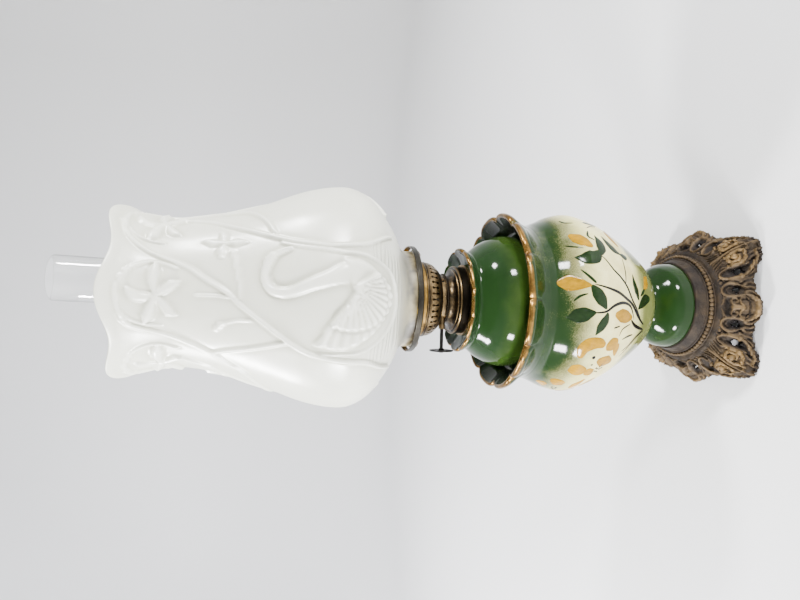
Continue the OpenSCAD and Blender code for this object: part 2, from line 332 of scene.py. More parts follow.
SCROLLS = [
    ([(0, 0.4), (4, 3.2), (8.4, 6), (10.8, 10.4)], [1.4, 1.2], 2.0),
    ([(10.4, 26), (9.8, 18), (10.4, 11), (12.6, 6), (16.5, 4), (21, 6.2), (23.4, 12), (22.4, 20),
      (19, 26), (16.8, 31)], [1.5, 2.0, 1.5], 2.8),
    ([(12.8, 25), (12.4, 17), (14, 11), (17, 9), (20, 12.5)], [0.8, 0.8], 0.9),
    ([(34, 5), (30.4, 8.4), (28, 15), (27.8, 24), (30.4, 31.4), (36, 36), (43, 37.4), (52, 36.4)],
     [1.8, 2.4, 1.8], 3.4),
    ([(34, 5), (38, 6), (41, 11), (41.6, 18), (40, 25), (40.4, 31)], [1.6, 1.4], 2.6),
    ([(23.8, 12), (26, 18), (25.4, 26), (27.4, 33), (32.6, 39)], [1.6, 1.4], 2.2),
    ([(0, 11), (0, 24)], [1.6, 2.2, 1.2], 2.2),
    ([(0.4, 22), (1.6, 15), (4.6, 12.4), (8, 14), (7.6, 18), (5, 18.6), (4.4, 16.6)], [1.2, 0.9], 2.0),
    ([(0.6, 24), (4, 20.6), (7.6, 22), (8.8, 26.6), (7.2, 29)], [1.3, 1.0], 2.0),
    ([(0, 37.4), (4.4, 36.6), (8.6, 33.6), (10.6, 29.6)], [3.4, 3.0, 1.2], 3.2),
    ([(10.6, 27), (13, 32), (12.4, 36.4), (9, 40.6)], [1.5, 1.3], 2.6),
    ([(16.4, 30), (17, 34.6), (15, 40.6)], [1.5, 1.2], 2.4),
    ([(19.2, 28), (21.4, 33.8), (20.6, 40.8)], [1.5, 1.2], 2.4),
    ([(23, 26), (25, 34), (26, 41)], [1.4, 1.2], 2.2),
    ([(43, 1.5), (48, 5), (52, 10.4)], [1.3, 1.0], 2.0),
    ([(47.6, 0.5), (53, 4.4), (57, 10.8)], [1.4, 1.0], 2.2),
    ([(53, 0.0), (58, 5), (60.6, 12)], [1.4, 1.0], 2.2),
    ([(62, -1), (62, 16), (62, 30), (62, 43)], [1.6, 2.6, 2.2, 3.0], 3.2),
    ([(38.6, 1.6), (43, 4.6), (45.4, 9)], [1.2, 1.0], 1.8),
    ([(56.6, 31), (59, 36), (58, 42)], [1.7, 1.4], 2.2),
    ([(45.6, 33), (47, 37), (46, 42)], [1.6, 1.3], 2.0),
    ([(50.6, 33), (52.6, 37.6), (52, 42)], [1.6, 1.3], 2.0),
    ([(36, 35), (37.6, 39), (36.4, 42)], [1.6, 1.3], 2.0),
    ([(13, 0.6), (17, 3.2), (20.6, 3), (21.8, 0.8)], [1.3, 1.0], 2.2),
    ([(28.6, 0.8), (31.4, 3.4), (30.6, 6.8), (27.4, 8.6)], [1.4, 1.0], 2.4),
    ([(44.6, 9.2), (42.8, 13), (44.6, 16.6), (47.4, 15.4)], [1.4, 1.1], 2.4),
    ([(57, 12.6), (54.2, 15), (55.2, 18.6), (58.8, 20)], [1.4, 1.1], 2.4),
    ([(58.4, 24), (55.6, 27.2), (57.4, 30.8), (60.8, 31)], [1.4, 1.1], 2.4),
    ([(44.2, 24.4), (42.6, 28), (44.6, 31.6)], [1.4, 1.1], 2.2),
    ([(36.4, 1.8), (37.2, 5), (40, 6.2)], [1.1, 0.9], 1.8),
    ([(5.6, 1.2), (8, 4.2), (11.8, 5.4)], [1.2, 0.9], 1.8),
]
VOLUTE = (50.6, 20.6)
HOLES = [(15.6, 19.6, 3.1, 5.4), (34.6, 22.6, 2.9, 5.0)]
ROSETTE = (26.2, 4.6)


def hole_distance(across, down, hole):
    """Roughly how far a place is outside a teardrop that narrows upwards, below nothing inside it."""
    x, y, half_w, half_h = hole
    narrow = half_w * (1 + 0.35 * np.clip((down - y) / half_h, -1, 1))
    ratio = np.hypot((across - x) / narrow, (down - y) / half_h)
    return (ratio - 1) * min(half_w, half_h)


def scrollwork(across, down):
    """How far the casting stands out, in millimetres: the highest of the scrolls at each place, over a
    ground that sinks round the holes and swells under the cartouche."""
    sunk = sum(np.exp(-(np.clip(hole_distance(across, down, h), 0, None) / 1.7) ** 2) for h in HOLES)
    diamond = ease(4.6 - np.abs(across) * 0.62 - np.abs(down - 7.6), -0.6, 1.2)
    slot = bar(across, down, [(0, 30.2), (5, 29.2), (8.6, 26.6)], [1.5, 1.3, 0.5], 1.6)
    swell = 1.6 * np.exp(-(across / 11) ** 2) * ease(down, 8, 16)
    high = np.zeros(across.shape)
    for points, widths, height in SCROLLS:
        high = np.maximum(high, bar(across, down, smooth_line(points, 4), widths, height * 1.15))
    coil = spiral(VOLUTE, 9.4, 3.6, 215, 215 - 470)
    high = np.maximum(high, bar(across, down, coil, [2.2, 1.8, 1.3], 3.2))
    ball = np.hypot(across - VOLUTE[0], down - VOLUTE[1])
    high = np.maximum(high, 3.4 * np.clip(1 - (ball / 2.8) ** 2, 0, 1))
    bead = np.hypot(across - ROSETTE[0], down - ROSETTE[1])
    high = np.maximum(high, 2.6 * np.clip(1 - (bead / 2.7) ** 2, 0, 1) ** 0.6)
    shoulder = 2.4 * np.clip(1 - (ball / 13) ** 2, 0, 1)
    return high + swell + shoulder - 1.8 * np.clip(sunk, 0, 1) - 2.0 * diamond - slot


def skirt_grid():
    """The skirt as rows from the ragged edge up to the band. Each column's line swings from level to
    upright as a quarter ellipse mixed with a straight slope; the edge's plan is a square with rounded
    corners, bulging in the middle of each side, and the scrollwork is added square to this surface."""
    half = SIDE * np.arange(SKIRT_COLUMNS) / SKIRT_COLUMNS
    across = np.tile(np.concatenate([half, SIDE - half]), 4)
    column = np.arange(len(across))
    quarter = column // (2 * SKIRT_COLUMNS)
    first_half = (column % (2 * SKIRT_COLUMNS)) < SKIRT_COLUMNS
    down = SKIRT * np.linspace(1, -0.05, SKIRT_ROWS)
    across, down = np.meshgrid(across, down)
    for hole in HOLES:
        gap = hole_distance(across, down, hole)
        pull = np.where(np.abs(gap) < 0.75, gap, 0)
        reach = np.hypot(across - hole[0], down - hole[1])
        across = across - pull * (across - hole[0]) / reach
        down = down - pull * (down - hole[1]) / reach
    turn_in = np.arctan(np.abs(across) / SIDE)
    azimuth = quarter * 90 + np.where(first_half, np.degrees(turn_in), 90 - np.degrees(turn_in))
    square = CORNER_HALF / (np.cos(turn_in) ** 9 + np.sin(turn_in) ** 9) ** (1 / 9)
    ragged = 0.9 * np.abs(np.sin(across * math.pi / 7.4 + 0.5)) + 0.6 * np.sin(across * 1.7)
    edge_r = square + MIDDLE_REACH * np.exp(-(across / 15) ** 2) + ragged - 1.6
    raised = MIDDLE_RAISED * ease(-across, -50, -22) - 2.6 * ease(-across, -12, 0)
    edge_z = np.clip(raised + 1.1 * np.cos(across * math.pi / 6.2) + 0.4, 0, None)
    t = down / SKIRT
    swing = np.clip(t, 0, 1) * math.pi / 2
    r = BAND_R + (edge_r - BAND_R) * (0.45 * t + 0.55 * np.sin(swing))
    z = BAND_Z - (BAND_Z - edge_z) * (0.55 * t + 0.45 * (1 - np.cos(swing)))
    points = around(r, z, azimuth)
    along = np.roll(points, -1, 1) - np.roll(points, 1, 1)
    up = np.gradient(points, axis=0)
    normal = np.cross(along, up)
    normal /= np.linalg.norm(normal, axis=-1, keepdims=True)
    fade = ease(down, -1, 3) * (1 - 0.5 * ease(down, SKIRT - 1.5, SKIRT))
    high = scrollwork(across, down) * fade
    points = points + normal * (high * 0.9 - 1.2 * fade)[..., None]
    points[..., 2] = np.maximum(points[..., 2], CASTING_WALL + 0.05)
    return points, across, down, high


def pierced(across, down, faces):
    """Which quads to keep: those not wholly inside a hole."""
    inside = np.zeros(across.shape, bool)
    for hole in HOLES:
        inside |= hole_distance(across, down, hole) < 0.05
    return ~inside.reshape(-1)[faces].all(axis=1)


def mark(thing, name, values):
    """One number for each point of a mesh, for its material to read."""
    layer = thing.data.attributes.new(name, "FLOAT", "POINT")
    layer.data.foreach_set("value", values.ravel().astype(np.float32))


def drop_loose(thing):
    """Takes away the points that no face uses."""
    work = bmesh.new()
    work.from_mesh(thing.data)
    loose = [v for v in work.verts if not v.link_faces]
    bmesh.ops.delete(work, geom=loose, context="VERTS")
    work.to_mesh(thing.data)
    work.free()


def thicken(thing, wall):
    """Gives a sheet a wall, in millimetres, behind its outer face."""
    solid = thing.modifiers.new("wall", "SOLIDIFY")
    solid.thickness = wall * MM
    solid.offset = -1


points, across, down, high = skirt_grid()
faces = grid_faces(*across.shape)
skirt = skin("base_skirt", points, faces[pierced(across, down, faces)])
mark(skirt, "relief", high)
drop_loose(skirt)
thicken(skirt, CASTING_WALL)
settle(skirt, "stand", "cast_metal", "base_casting")

seat_line = np.concatenate([
    [(3.6, SEAT_Z - 4), (3.6, SEAT_Z), (43.2, SEAT_Z)], arc((43.2, SEAT_Z - 1.4), 1.4, 80, 10, 4),
    smooth_line([(44.8, 47.6), (46.2, 44.4), (47.4, 41.4)], 3), arc((48.0, 40.6), 0.8, 60, -60, 5),
    [(48.5, 38.9), (49.4, 36.6), (50.2, 35.8)], arc((51.0, 35.2), 0.9, 100, -50, 5),
    [(52.2, 34.4), (55.4, 33.4), (57.2, 31.4), (57.0, 28.4), (53.4, 28.4), (46, 33.4), (41, 43),
     (36, SEAT_Z - 4)]])
seat = turned("base_seat", seat_line[::-1], 256, sharp=60)
mark(seat, "relief", np.interp([v.co.z / MM for v in seat.data.vertices], [30, 33.5, 36, 38, 41, 50],
                               [0.2, 0.2, 1.0, -0.2, 0.1, 0.2]))
settle(seat, "stand", "cast_metal", "base_casting")


def bead_ring(name, radius, height, bead, count, squash=1.0, pinch=0.25, steps=8):
    """Beads in a row round the axis: a tube whose cross-section is a circle, and whose radius follows a
    circle's own height along each bead, down to a thin neck between two beads."""
    columns = count * steps
    along = (np.arange(columns) % steps) / steps * 2 - 1
    size = bead * (pinch + (1 - pinch) * np.sqrt(np.clip(1 - along ** 2, 0, 1)))
    ring = np.radians(np.arange(8) * 45.0)[:, None]
    azimuth = np.arange(columns) * 360 / columns
    points = around(radius + size * np.cos(ring), height + squash * size * np.sin(ring), azimuth)
    return skin(name, points, grid_faces(8, columns, True))


beads = bead_ring("base_beads", 50.2, 38.3, 2.05, 78, 1.05, 0.1)
mark(beads, "relief", np.full(len(beads.data.vertices), 2.4))
settle(beads, "stand", "cast_metal", "base_casting")

POST_AT = 56.0
posts = []
for corner in range(4):
    foot = turned(f"foot_{corner}", [(0, 0), (8.2, 0), (8.6, 1.4), (8.2, 9), (5, 10.5), (0, 10.5)], 32)
    place = Matrix.Translation(Vector((POST_AT, POST_AT, 0)) * MM)
    foot.data.transform(Matrix.Rotation(corner * math.pi / 2, 4, "Z") @ place)
    mark(foot, "relief", np.full(len(foot.data.vertices), 0.6))
    settle(foot, "stand", "cast_metal", "base_casting")
    posts.append(foot)

cast = Finish("browned_casting", Metallic=0.32, Specular_IOR_Level=0.25)
relief = cast.remap(cast.attribute("relief"), -1.5, 5.0)
wear = cast.math("ADD", relief, cast.remap(cast.noise(90.0, 5.0), 0.3, 0.7, -0.16, 0.16))
patina = cast.ramp(wear, (0.0, tint(14, 10, 8)), (0.25, tint(27, 20, 14)), (0.5, tint(50, 39, 25)),
                   (0.78, tint(76, 60, 37)), (1.0, tint(98, 77, 46)))
dust = cast.remap(cast.noise(38.0, 6.0, 0.65), 0.52, 0.72)
cast.set(Base_Color=cast.mix(cast.math("MULTIPLY", dust, 0.45), patina, tint(56, 46, 32)))
cast.set(Roughness=cast.remap(wear, 0.0, 1.0, 0.78, 0.5))
grit = cast.bump(cast.noise(900.0, 3.0), 0.0003, 0.55)
lumps = cast.bump(cast.noise(130.0, 3.0, 0.6, distort=0.8), 0.0022, 0.55, grit)
cast.set(Normal=cast.bump(cast.noise(260.0, 4.0), 0.0009, 0.5, lumps))
for piece in [skirt, seat, beads, *posts]:
    cast.put(piece)

# ------------------------------------------------------------------ tie rod
# One threaded rod, with a washer and a nut under the casting and another pair on the vase's floor, clamps
# the vase to its foot. Both nuts and the lower washer are blackened steel, like the burner's spindle and
# its hand wheel. The rod is bare, like the spur wheels, and a leather washer spares the clay.

blackened = Finish("blackened_steel", Metallic=0.85)
scuff = blackened.noise(260.0, 5.0, 0.6)
blackened.set(Base_Color=blackened.ramp(scuff, (0.35, tint(12, 12, 11)), (0.75, tint(42, 40, 37))))
blackened.set(Roughness=blackened.remap(scuff, 0.3, 0.7, 0.3, 0.55))
blackened.set(Normal=blackened.bump(blackened.noise(700.0), 0.0002, 0.4))
for name in ["rod_washer", "rod_nut", "floor_nut", "wick_spindle", "hand_wheel"]:
    blackened.put(nodes[name])

bare = Finish("bare_steel", Metallic=1.0)
streak = bare.noise(420.0, 4.0, 0.6, (1, 1, 0.1))
bare.set(Base_Color=bare.ramp(streak, (0.3, tint(120, 116, 110)), (0.7, tint(186, 184, 180))))
bare.set(Roughness=bare.remap(streak, 0.3, 0.7, 0.25, 0.5))
bare.set(Normal=bare.bump(bare.noise(1200.0, 2.0, 0.5, (1, 1, 0.2)), 0.0001, 0.3))
bare.put(nodes["tie_rod"])
bare.put(nodes["spur_wheels"])

hide = Finish("leather", Roughness=0.7)
pores = hide.spots(1400.0)
hide.set(Base_Color=hide.mix(hide.noise(200.0, 5.0), tint(96, 62, 36), tint(150, 104, 64)))
hide.set(Normal=hide.bump(pores, 0.0003, 0.6))
hide.put(nodes["floor_washer"])

# ------------------------------------------------------------------ vase
# Slip-cast earthenware in one piece: bell foot, round body and a collar drawn out into twelve lobes.
# It is cream, with green sprayed on from the top and the bottom, and a band of gilding on the lip.

LOBES = 12
VASE_NOTCH = 2.0
VASE_SIDES = 360
CLAY = 5.0
COLLAR_Z = 216
GLAZE_SHEEN = 0.15
foot_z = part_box("vase_body")[0].z / MM
bell_line = [(42.2, foot_z + 0.4), (42.6, foot_z + 2), (42.4, 54.8), (41.2, 60.5), (38, 66.6), (32.6, 72),
             (27.6, 76.4), (25.2, 80)]
body_line = [(25.2, 80), (28.6, 83.4), (44.7, 96), (57.1, 112), (68.2, 130), (77, 146), (83.2, 163),
             (85.6, 176), (82.8, 188), (77.6, 199), (73.8, 209), (73.4, COLLAR_Z)]
lip_line = [(73.4, COLLAR_Z), (74.8, 221), (77.6, 226.4), (80.6, 230.4), (83.0, 234), (83.8, 237.2),
            (82.6, 239.6), (80.2, 239.6), (77.4, 236.6), (73.6, 232), (70.2, 227.4), (68, 222),
            (66.6, 219.2)]


def moved_in(line, wall):
    """The line moved inwards, square to itself."""
    step = np.gradient(line, axis=0)
    step /= np.linalg.norm(step, axis=1, keepdims=True)
    return line + wall * np.stack([-step[:, 1], step[:, 0]], -1)


def lobe(azimuth, notch):
    """0 along each lobe's middle, rising steeply to 1 at the notches between lobes."""
    width = 360 / LOBES
    across = np.abs((azimuth - notch) % width - width / 2) / (width / 2)
    return across ** 4


def scalloped(name, outline, notch, low, high, cut, drop, sides):
    """An outline carried round the axis, drawn in at the notches by cut and let down by drop, fully above
    high and not at all below low."""
    azimuth = np.arange(sides)[None, :] * 360 / sides
    r, z = outline[:, :1], outline[:, 1:]
    share = ease(z, low, high) * lobe(azimuth, notch)
    outside = 0.6 + 0.4 * ease(r, r.max() - 12, r.max())
    points = around(r - cut * share * outside, z - drop * share, azimuth)
    thing = skin(name, points, grid_faces(len(outline), sides, True))
    weld(thing)
    return thing


vase_side = np.concatenate([smooth_line(bell_line, 4)[:-1], smooth_line(body_line, 8)[:-1]])
cavity = moved_in(smooth_line(body_line, 4), CLAY)[::-1]
cavity = cavity[(cavity[:, 1] < 206) & (cavity[:, 1] > 96)]
under = smooth_line([(3.6, 83), (13, 81.8), (20, 77.2), (27.4, 71), (33.4, 64.4), (36.6, 57),
                     (37.4, foot_z + 0.6), (38.6, foot_z)], 3)
ledge = [(56.6, 219), (56, 218.4), (56, 215)]
vase_line = np.concatenate([vase_side, smooth_line(lip_line, 5), ledge, cavity, [(26, 91.6), (3.6, 91)],
                            under, [(41.2, foot_z)]])
vase = scalloped("vase", vase_line, VASE_NOTCH, 219, 234, 4.8, 2.2, VASE_SIDES)
settle(vase, "stand", "vase_glaze", "vase_body")

TOP_FADE = [(-180, 196), (-120, 194), (-70, 192), (-45, 190), (-28, 187), (-14, 190), (-2, 193), (6, 198),
            (24, 197), (39, 194), (59, 191), (110, 196), (180, 196)]
LOW_FADE = [(-180, 134), (-110, 136), (-45, 143), (-32, 132), (8, 132), (31, 132), (43, 143), (120, 136),
            (180, 134)]


def cylindrical(thing):
    """Each point's radius, azimuth and height."""
    co = np.zeros(len(thing.data.vertices) * 3)
    thing.data.vertices.foreach_get("co", co)
    x, y, z = co.reshape(-1, 3).T / MM
    return np.hypot(x, y), np.degrees(np.arctan2(x, -y)), z


def sprayed(thing):
    """Marks each point with how green it is: 1 above the top fade and below the low one, 0 between, with
    the fades' heights read off lines round the vase."""
    r, azimuth, z = cylindrical(thing)
    top = np.interp(azimuth, *np.array(TOP_FADE).T)
    low = np.interp(azimuth, *np.array(LOW_FADE).T)
    outside = np.interp(z, vase_side[:, 1], vase_side[:, 0])
    mark(thing, "green_top", ease(z, top - 31, top + 17))
    mark(thing, "green_low", ease(-z, -low - 6, -low + 18))
    mark(thing, "green_foot", ease(-z, -100, -84))
    mark(thing, "inside", (r < outside - CLAY / 2) & (z < COLLAR_Z))


sprayed(vase)
r, azimuth, z = cylindrical(vase)
share = lobe(azimuth, VASE_NOTCH)
gilt_from = 79.8 - 4.2 * share
gilt_low = 235.9 - 3.4 * share
mark(vase, "gilt", ease(r, gilt_from - 0.5, gilt_from + 0.5) * ease(z, gilt_low - 0.6, gilt_low + 0.6))


def glaze(name, low_green, deep_green, pale_green, cream, aged):
    """Glazed earthenware: sprayed greens over cream, speckled at the fades, gilt over the glaze."""
    made = Finish(name, Specular_IOR_Level=GLAZE_SHEEN)
    spray = made.remap(made.noise(1500.0, 2.0, 0.5), 0.3, 0.7, -0.15, 0.15)
    cloud = made.noise(34.0, 4.0, 0.55)
    drift = made.remap(cloud, 0.3, 0.7, -0.18, 0.18)
    loose = made.math("MULTIPLY", made.math("ADD", spray, drift), 0.7)
    body = made.mix(made.remap(made.noise(60.0, 5.0), 0.35, 0.7), cream, aged)
    green = made.ramp(made.math("ADD", made.attribute("green_top"), made.math("MULTIPLY", drift, 0.8)),
                      (0.22, pale_green), (0.66, low_green), (1.0, deep_green))
    cover = made.remap(made.math("ADD", made.attribute("green_top"), loose), 0.0, 0.9)
    colour = made.mix(cover, body, green)
    low = made.remap(made.math("ADD", made.attribute("green_low"), loose), 0.1, 0.9)
    deepening = made.math("MULTIPLY", made.math("POWER", low, 3.0), 0.75)
    colour = made.mix(made.math("MULTIPLY", low, 0.9), colour, made.mix(deepening, pale_green, low_green))
    foot = made.remap(made.math("ADD", made.attribute("green_foot"), loose), 0.15, 0.7)
    colour = made.mix(foot, colour, made.mix(made.remap(cloud, 0.25, 0.5), low_green, deep_green))
    colour = made.mix(made.attribute("inside"), colour, tint(150, 138, 112))
    rubbed = made.math("SUBTRACT", made.attribute("gilt"), made.remap(made.noise(160.0, 4.0), 0.56, 0.74))
    gilt = made.math("MAXIMUM", rubbed, 0.0)
    gold = made.ramp(made.noise(120.0, 4.0), (0.3, tint(66, 46, 20)), (0.7, tint(134, 101, 50)))
    made.set(Base_Color=made.mix(gilt, colour, gold), Metallic=made.math("MULTIPLY", gilt, 0.9))
    made.set(Roughness=made.remap(gilt, 0.0, 1.0, 0.09, 0.27))
    pool = made.bump(made.noise(22.0, 1.0, 0.4), 0.003, 0.05)
    made.set(Normal=made.bump(made.noise(300.0, 2.0), 0.0002, 0.06, pool))
    return made


vase_glaze = glaze("green_and_cream_glaze", tint(28, 44, 8), tint(16, 35, 10), tint(98, 110, 34),
                   tint(212, 205, 148), tint(192, 180, 121))
vase_glaze.put(vase)

# ------------------------------------------------------------------ painting
# Stems, leaves, buds and petals are thick coloured slip laid on the vase with a brush before glazing, so
# each stroke stands a hair above the clay: black stems, green leaves and ochre flowers, on both faces.

SLIP = 0.28
KEEL = 0.35
STROKE_ROWS = 30
STROKE_SIDES = 16
STROKE_TURN = np.radians(np.arange(STROKE_SIDES) * 360 / STROKE_SIDES)
vase_r_at = smooth_line(body_line, 16)


def stroke(line, widths):
    """One brush stroke on the vase, along a line of (azimuth, height) points: a flat tube whose section
    is the top half of an ellipse above the clay and a shallow keel within it. The half widths, in
    millimetres, run along the stroke, and its ends are round."""
    line = smooth_line(line, 8)
    size = np.linalg.norm(np.diff(line * [1.4, 1.0], axis=0), axis=1)
    along = np.concatenate([[0], np.cumsum(size)]) / size.sum()
    t = (1 - np.cos(np.linspace(0, math.pi, STROKE_ROWS))) / 2
    centre = np.stack([np.interp(t, along, line[:, 0]), np.interp(t, along, line[:, 1])], -1)
    r = np.interp(centre[:, 1], vase_r_at[:, 1], vase_r_at[:, 0])
    per_degree = r * math.pi / 180
    slope = np.gradient(vase_r_at[:, 0], vase_r_at[:, 1])
    rise = np.hypot(1, np.interp(centre[:, 1], vase_r_at[:, 1], slope))
    run = np.gradient(centre, axis=0) * np.stack([per_degree, rise], -1)
    run /= np.linalg.norm(run, axis=1, keepdims=True)
    half = np.interp(t, np.linspace(0, 1, len(widths)), widths)
    blunt = np.sqrt(np.clip(1 - (2 * t - 1) ** 2, 0, 1)) ** 0.5
    half = np.maximum(half * blunt, 0.02)
    side = half[:, None] * np.cos(STROKE_TURN)
    lift = np.where(np.sin(STROKE_TURN) > 0, SLIP, KEEL) * np.sin(STROKE_TURN)
    lift = lift * np.minimum(1, half[:, None] / 0.5)
    azimuth = centre[:, :1] - side * run[:, 1:] / per_degree[:, None]
    height = centre[:, 1:] + side * run[:, :1] / rise[:, None]
    radius = np.interp(height, vase_r_at[:, 1], vase_r_at[:, 0])
    return around(radius + lift * rise[:, None], height, azimuth)


def painted(name, strokes):
    """All the strokes of one colour as one piece, with a number for each stroke and the way across it."""
    points = [stroke(*s) for s in strokes]
    each = STROKE_ROWS * STROKE_SIDES
    faces = np.concatenate([tube_faces(STROKE_ROWS, STROKE_SIDES) + each * i for i in range(len(points))])
    thing = skin(name, np.concatenate([p.reshape(-1, 3) for p in points]), faces)
    mark(thing, "stroke", np.repeat(np.arange(len(points)) * 0.37 % 1, each))
    mark(thing, "middle", np.tile(np.abs(np.cos(STROKE_TURN)), STROKE_ROWS * len(points)))
    settle(thing, "stand", "vase_glaze")
    return thing


def tube_faces(rows, around_count):
    """Quads of a tube with rows rings, and a fan-like cap of quads at each end."""
    wall = grid_faces(rows, around_count)
    half = around_count // 2
    k = np.arange(half - 1)
    first = np.stack([k + 1, k, around_count - 1 - k, (around_count - 2 - k)], -1)
    last = first[:, ::-1] + (rows - 1) * around_count
    return np.concatenate([wall, first, last])


STEMS = [
    ([(-5.3, 183), (-4.3, 171.6), (-0.9, 163), (0.9, 152), (-1.6, 142), (-11, 135)],
     [0.55, 0.8, 0.9, 0.8, 0.4]),
    ([(11, 182), (9.6, 173), (7.1, 158), (3.5, 148), (0.2, 140), (-7.6, 130.5), (-17.4, 117)],
     [0.5, 0.9, 0.9, 1.0, 0.9]),
    ([(30, 173.6), (27, 168), (21, 161), (17.4, 154.4), (12, 147), (3.8, 140.5), (-1.6, 134), (-14, 122)],
     [0.5, 0.7, 0.8, 0.8, 0.6]),
    ([(12.9, 148), (21.3, 146), (31.5, 145.4)], [0.4, 0.45, 0.35]),
    ([(-10.7, 139.4), (-15.5, 132), (-22, 116)], [1.0, 1.1, 0.7]),
    ([(-20.3, 152.3), (-16, 150), (-13.4, 140.5)], [0.3, 0.45, 0.4]),
    ([(-14.4, 161), (-13.6, 154)], [0.5, 0.45]),
    ([(-23.5, 147), (-22.5, 141), (-22.7, 132)], [0.45, 0.7, 0.5]),
    ([(-34, 141), (-31.7, 133), (-26.7, 126), (-22.5, 115)], [0.45, 0.5, 0.5]),
    ([(-39, 141), (-33.4, 132), (-27.5, 124), (-23.8, 114)], [0.35, 0.4, 0.4]),
    ([(52, 173), (56, 166), (58, 159)], [0.35, 0.4, 0.3]),
]
LEAVES = [
    ([(-5, 181), (-6.4, 189), (-8, 196), (-9.4, 203)], [2.2, 6.2, 6.4, 1.0]),
    ([(-5, 170), (-9, 171.6), (-13.6, 175.4), (-18.2, 179)], [2.2, 4.4, 4.0, 0.9]),
    ([(-3, 171.6), (1, 175.4), (6, 180), (10.6, 184.6)], [2.0, 5.2, 5.2, 2.4]),
    ([(1.3, 198), (4.2, 193.7), (5.7, 187.6)], [1.0, 1.1, 0.7]),
    ([(20.6, 191.6), (15.9, 185.7), (11.8, 180.6)], [0.7, 1.2, 1.5]),
    ([(32.4, 172), (28.6, 177), (27.6, 186), (29.2, 194)], [3.0, 7.4, 6.0, 1.0]),
    ([(29.4, 171), (35, 168.4), (40, 168), (45, 170)], [2.4, 5.4, 4.6, 1.0]),
    ([(39.5, 198), (36.9, 192.3), (34.6, 185)], [0.8, 0.9, 0.6]),
    ([(40.4, 172.3), (43.5, 177), (48.7, 174.4)], [0.9, 1.1, 0.8]),
    ([(34.8, 146), (37, 153), (41.6, 158), (46.6, 161.4)], [2.0, 4.6, 3.6, 0.8]),
    ([(34.8, 147), (34.4, 141), (36, 136.4)], [1.6, 3.6, 2.4]),
    ([(3.3, 129), (9, 131.6), (15, 134.4), (22, 135.4)], [2.0, 4.2, 3.6, 0.8]),
    ([(-3.4, 130), (0.6, 124), (4.4, 117), (5.6, 109)], [1.6, 4.6, 5.2, 3.6]),
    ([(6.6, 126), (10.6, 120.6), (15, 116.4)], [1.2, 1.9, 0.8]),
    ([(59, 172), (60.6, 164), (61.6, 156)], [2.0, 3.0, 1.0]),
    ([(58.6, 182), (61.4, 188), (66, 190)], [0.7, 1.0, 0.8]),
]
BUDS = [
    ([(10.4, 184.6), (11.4, 192), (12.8, 202), (13.2, 210.6)], [1.8, 4.6, 6.4, 3.0]),
    ([(34.8, 177), (38.4, 181.6), (43, 187), (47.6, 192)], [2.4, 4.6, 5.2, 2.4]),
    ([(43, 142.4), (48, 146), (54, 147.6), (60.6, 146)], [2.2, 4.2, 4.0, 1.6]),
    ([(-9, 138.6), (-8.4, 145), (-7, 153), (-6.2, 161.4)], [2.4, 5.0, 5.4, 2.8]),
    ([(13, 119), (18.4, 114), (24, 111.4), (28, 108)], [1.4, 3.6, 4.0, 1.6]),
]
PETALS = [
    ([(-48.4, 180), (-44, 183.4), (-40, 186.4)], [5.0, 7.2, 4.6]),
    ([(-34.6, 185.6), (-28.6, 186), (-24.2, 181.4), (-23.2, 174), (-25.4, 166.8)],
     [3.2, 4.4, 5.4, 5.0, 3.6]),
    ([(-27.2, 164.6), (-25.2, 157.4), (-24.4, 151.6)], [4.2, 6.2, 4.2]),
    ([(-35.6, 149.4), (-30.4, 151), (-26, 153)], [1.4, 3.2, 4.4]),
    ([(-40.6, 150.4), (-38.2, 158.6), (-35.2, 169)], [3.0, 6.0, 3.2]),
    ([(-48.4, 168.4), (-45, 172), (-42, 174.6)], [3.0, 4.6, 2.8]),
    ([(-68, 190), (-62.4, 189.6), (-59, 185.4)], [3.2, 6.2, 3.6]),
    ([(-79, 194), (-74.6, 197), (-71, 194.6)], [3.0, 5.2, 3.0]),
    ([(-68, 174.6), (-60, 173.4), (-53, 170)], [2.6, 4.0, 1.8]),
    ([(-80, 180), (-77, 172.4), (-72, 166)], [3.2, 5.2, 2.6]),
    ([(-66, 166), (-62, 160), (-57, 156)], [2.2, 4.4, 2.0]),
]
DOTS = [(-43.8, 163.5), (-45.6, 165.2), (-42.2, 162), (-44.6, 160.8), (-42.6, 165.6), (-46.8, 162.4),
        (-41, 160.4), (-38.7, 173), (-76, 186), (-74, 184.4), (-71.5, 185), (-73.4, 187.6), (-77.6, 183.6),
        (-44, 158.8)]


def thicker(strokes, times):
    """The same strokes with a fuller brush."""
    return [(line, [w * times for w in widths]) for line, widths in strokes]


def turned_away(strokes, by):
    """The same strokes on the vase's other face, by so many degrees round."""
    return [([(a + by, h) for a, h in line], widths) for line, widths in strokes]


dots = [([(a - 0.6, h), (a, h), (a + 0.6, h)], [1.0, 1.15, 1.0]) for a, h in DOTS]
dots += [([(-34, 173.6), (-33, 174.3), (-32, 175.2)], [1.5, 1.7, 1.5])]
both = {"stems": thicker(STEMS, 1.6) + dots, "leaves": LEAVES, "flowers": thicker(BUDS + PETALS, 1.15)}
strokes = {name: s + turned_away(s, 180) for name, s in both.items()}
stems = painted("painted_stems", strokes["stems"])
leaves = painted("painted_leaves", strokes["leaves"])
flowers = painted("painted_flowers", strokes["flowers"])


